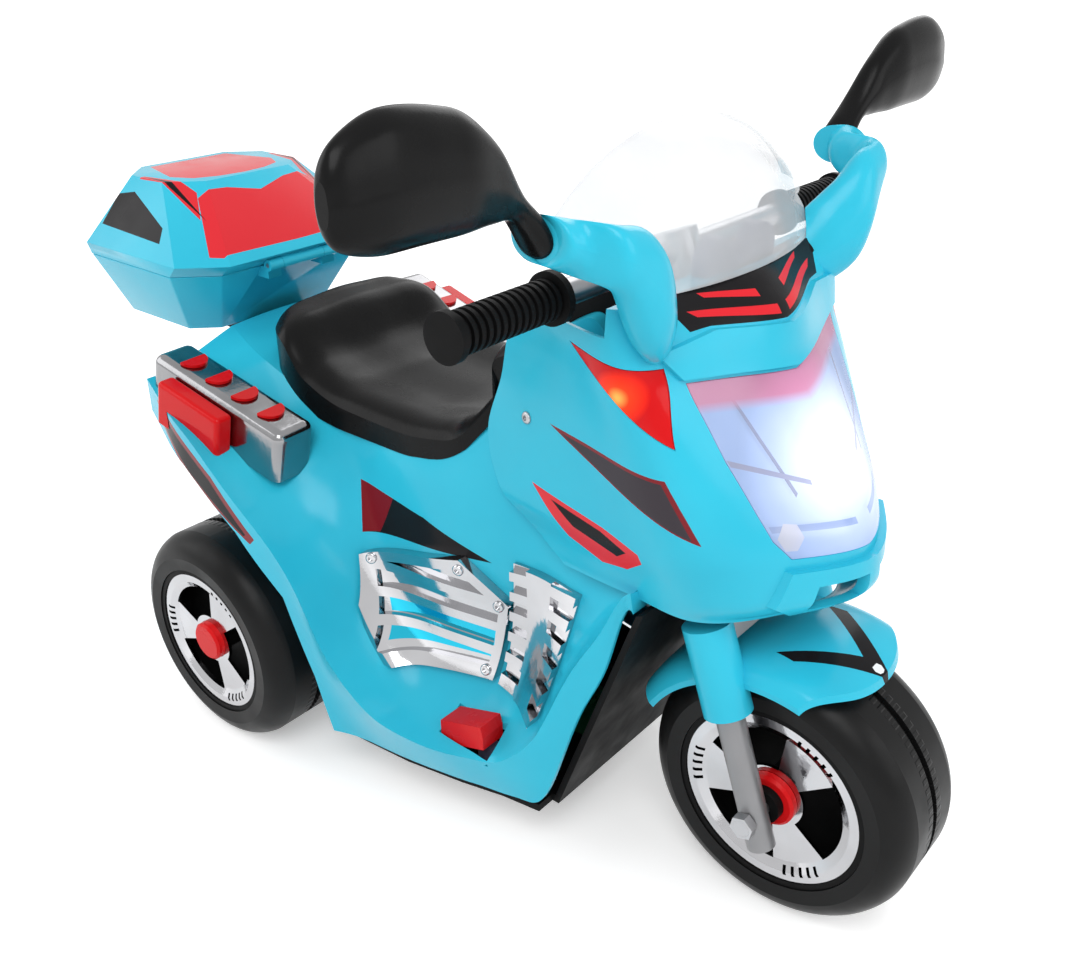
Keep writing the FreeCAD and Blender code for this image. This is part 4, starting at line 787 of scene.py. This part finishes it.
def dial(name, across):
    """A dial cup with a plated rim, cut level above the fairing."""
    bpy.ops.object.select_all(action="DESELECT")
    place = (gauge_low.x - dial_depth / 2, across, dial_height)
    bpy.ops.mesh.primitive_cylinder_add(
        vertices=48, radius=dial_radius, depth=dial_depth, location=place, rotation=(0, -math.pi / 2, 0)
    )
    cup = bpy.context.object
    cup.name = name
    bpy.ops.object.transform_apply(location=True, rotation=True, scale=True)
    bpy.ops.object.mode_set(mode="EDIT")
    bpy.ops.mesh.select_all(action="SELECT")
    bpy.ops.mesh.bisect(plane_co=(0, 0, dial_floor), plane_no=(0, 0, 1), clear_inner=True, use_fill=True)
    bpy.ops.object.mode_set(mode="OBJECT")
    select_faces(cup, lambda face: face.normal.x < looks_back)
    bpy.ops.mesh.inset(thickness=dial_rim)
    bpy.ops.mesh.extrude_region_move(TRANSFORM_OT_translate={"value": (face_sink, 0, 0)})
    bpy.ops.object.mode_set(mode="OBJECT")
    bpy.ops.object.shade_smooth_by_angle(angle=math.radians(40))
    cup.data.materials.append(finishes["chrome"])
    cup.data.materials.append(dial_face(name + "_face", (across, dial_height)))
    for face in cup.data.polygons:
        sunk = face.center.x > face_limit
        face.material_index = 1 if sunk and face.normal.x < looks_back else 0
    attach(cup, "body")


for side, hand in ((-1, "right"), (1, "left")):
    dial("dial_" + hand, side * dial_across)
print("dials apart:", 2 * dial_across)

# %% [markdown]
# A needle stands on the middle of each dial, and the two lean towards each other.
# A flat strip would vanish when it is seen from its edge, so it is a slim cone with eased edges.
# The cone is made upright from its pivot and then leaned.

# %% Needles
needle_lean = math.radians(35)
needle_length = dial_radius * 0.62
needle_foot, needle_tip, needle_ease = 0.0007, 0.0002, 0.0001
needle_plane = gauge_low.x - dial_depth * 0.75


def needle(name, across, lean):
    """A tapered pointer on the dial's face that leans from upright."""
    bpy.ops.object.select_all(action="DESELECT")
    bpy.ops.mesh.primitive_cone_add(vertices=6, radius1=needle_foot, radius2=needle_tip, depth=needle_length)
    pointer = bpy.context.object
    pointer.name = name
    bpy.ops.object.mode_set(mode="EDIT")
    bpy.ops.mesh.select_all(action="SELECT")
    bpy.ops.mesh.bevel(offset=needle_ease, segments=2, affect="EDGES")
    bpy.ops.transform.translate(value=(0, 0, needle_length / 2))
    bpy.ops.object.mode_set(mode="OBJECT")
    pointer.rotation_euler = (lean, 0, 0)
    pointer.location = (needle_plane, across, dial_height)
    bpy.ops.object.transform_apply(location=True, rotation=True, scale=True)
    pointer.data.materials.append(finishes["red"])
    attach(pointer, "body")


for side, hand in ((-1, "right"), (1, "left")):
    needle("needle_" + hand, side * dial_across, side * needle_lean)
print("needle length:", round(needle_length, 4))

# %% [markdown]
# The lit headlight glows through its lens: white in the middle, blue at the edges, with a pink brow.
# A lamp behind the lens would need many samples to look clean, so the glow is given to the lens itself.
# A few dim lines and a bulb stand for the reflector's facets behind it.

# %% Headlight
headlight_middle = (0.300, 0.004, 0.350)
glow_white, glow_blue, blue_reach = (1.0, 1.0, 1.0), (0.46, 0.60, 1.0), (0.03, 0.08)
brow_glow, brow_tint = (0.62, 0.24, 0.42), (0.52, 0.22, 0.36)
brow_slope, brow_edge = (0.0, -0.125, 1.0), (0.383, 0.389)
glow_strength, glow_reach = (0.75, 0.14), (0.02, 0.075)
lens_cover, lens_cover_reach = (0.9, 0.62), (0.03, 0.07)
lamp_facets = [
    ((0.20, 0.22, 0.34), "yz", [(60, 402), (62.5, 402.5), (44, 338), (42, 340)]),
    ((0.26, 0.28, 0.42), "yz", [(79, 367), (78, 363), (30, 342), (30, 345)]),
    ((0.24, 0.32, 0.54), "yz", [(67, 326), (66, 322), (8, 314), (8, 318)]),
    ((0.50, 0.52, 0.62), "yz", [(64, 318), (58, 326), (50, 324), (48, 316), (54, 309), (61, 310)]),
]


def headlight_glow():
    """Clear lens that glows, with a pink brow, blue edges and lines of the reflector."""
    finish = clear_plastic("lit_headlight", (0.22, 0.34, 0.60), (0.30, 0.42, 0.68), 0.45)
    tree = finish.node_tree
    shader = tree.nodes["Principled BSDF"]
    place = folded_place(tree)
    reach = measured(tree, "DISTANCE", place, headlight_middle)
    glow = blend_colour(tree, spread(tree, reach, 0.0, 1.0, *blue_reach), glow_white, glow_blue)
    tint = shader.inputs["Base Color"].links[0].from_socket
    for line, axes, corners in lamp_facets:
        mask = outline_mask(tree, place, axes, corners)
        glow = blend_colour(tree, mask, glow, line)
        tint = blend_colour(tree, mask, tint, line)
    brow = spread(tree, measured(tree, "DOT_PRODUCT", place, brow_slope), 0.0, 1.0, *brow_edge)
    tree.links.new(blend_colour(tree, brow, glow, brow_glow), shader.inputs["Emission Color"])
    tree.links.new(blend_colour(tree, brow, tint, brow_tint), shader.inputs["Base Color"])
    tree.links.new(spread(tree, reach, *glow_strength, *glow_reach), shader.inputs["Emission Strength"])
    tree.links.new(spread(tree, reach, *lens_cover, *lens_cover_reach), shader.inputs["Alpha"])
    return finish


dress("headlight_lens", headlight_glow())
print("headlight lines:", len(lamp_facets))

# %% [markdown]
# Each indicator is a red lens with a lit lamp behind it, which shows as an amber spot with a red fringe.
# The glow falls off with the distance from the lamp, so the rest of the lens stays plain red.

# %% Indicators
indicator_lamp = (0.219, 0.116, 0.407)
lit_red, lit_amber, amber_reach = (1.0, 0.06, 0.0), (1.0, 0.62, 0.12), (0.002, 0.008)
fringe_strength, fringe_reach = (1.4, 0.0), (0.001, 0.018)
lit_indicator = moulded("lit_indicator", *lens_look)
lens_tree = lit_indicator.node_tree
lens_shader = lens_tree.nodes["Principled BSDF"]
lamp_reach = measured(lens_tree, "DISTANCE", folded_place(lens_tree), indicator_lamp)
amber = spread(lens_tree, lamp_reach, 1.0, 0.0, *amber_reach)
fringe = blend_colour(lens_tree, amber, lit_red, lit_amber)
lens_tree.links.new(fringe, lens_shader.inputs["Emission Color"])
glow_fall = spread(lens_tree, lamp_reach, *fringe_strength, *fringe_reach)
lens_tree.links.new(glow_fall, lens_shader.inputs["Emission Strength"])
dress("indicator_lenses", lit_indicator)
print("indicator lamp at", indicator_lamp)
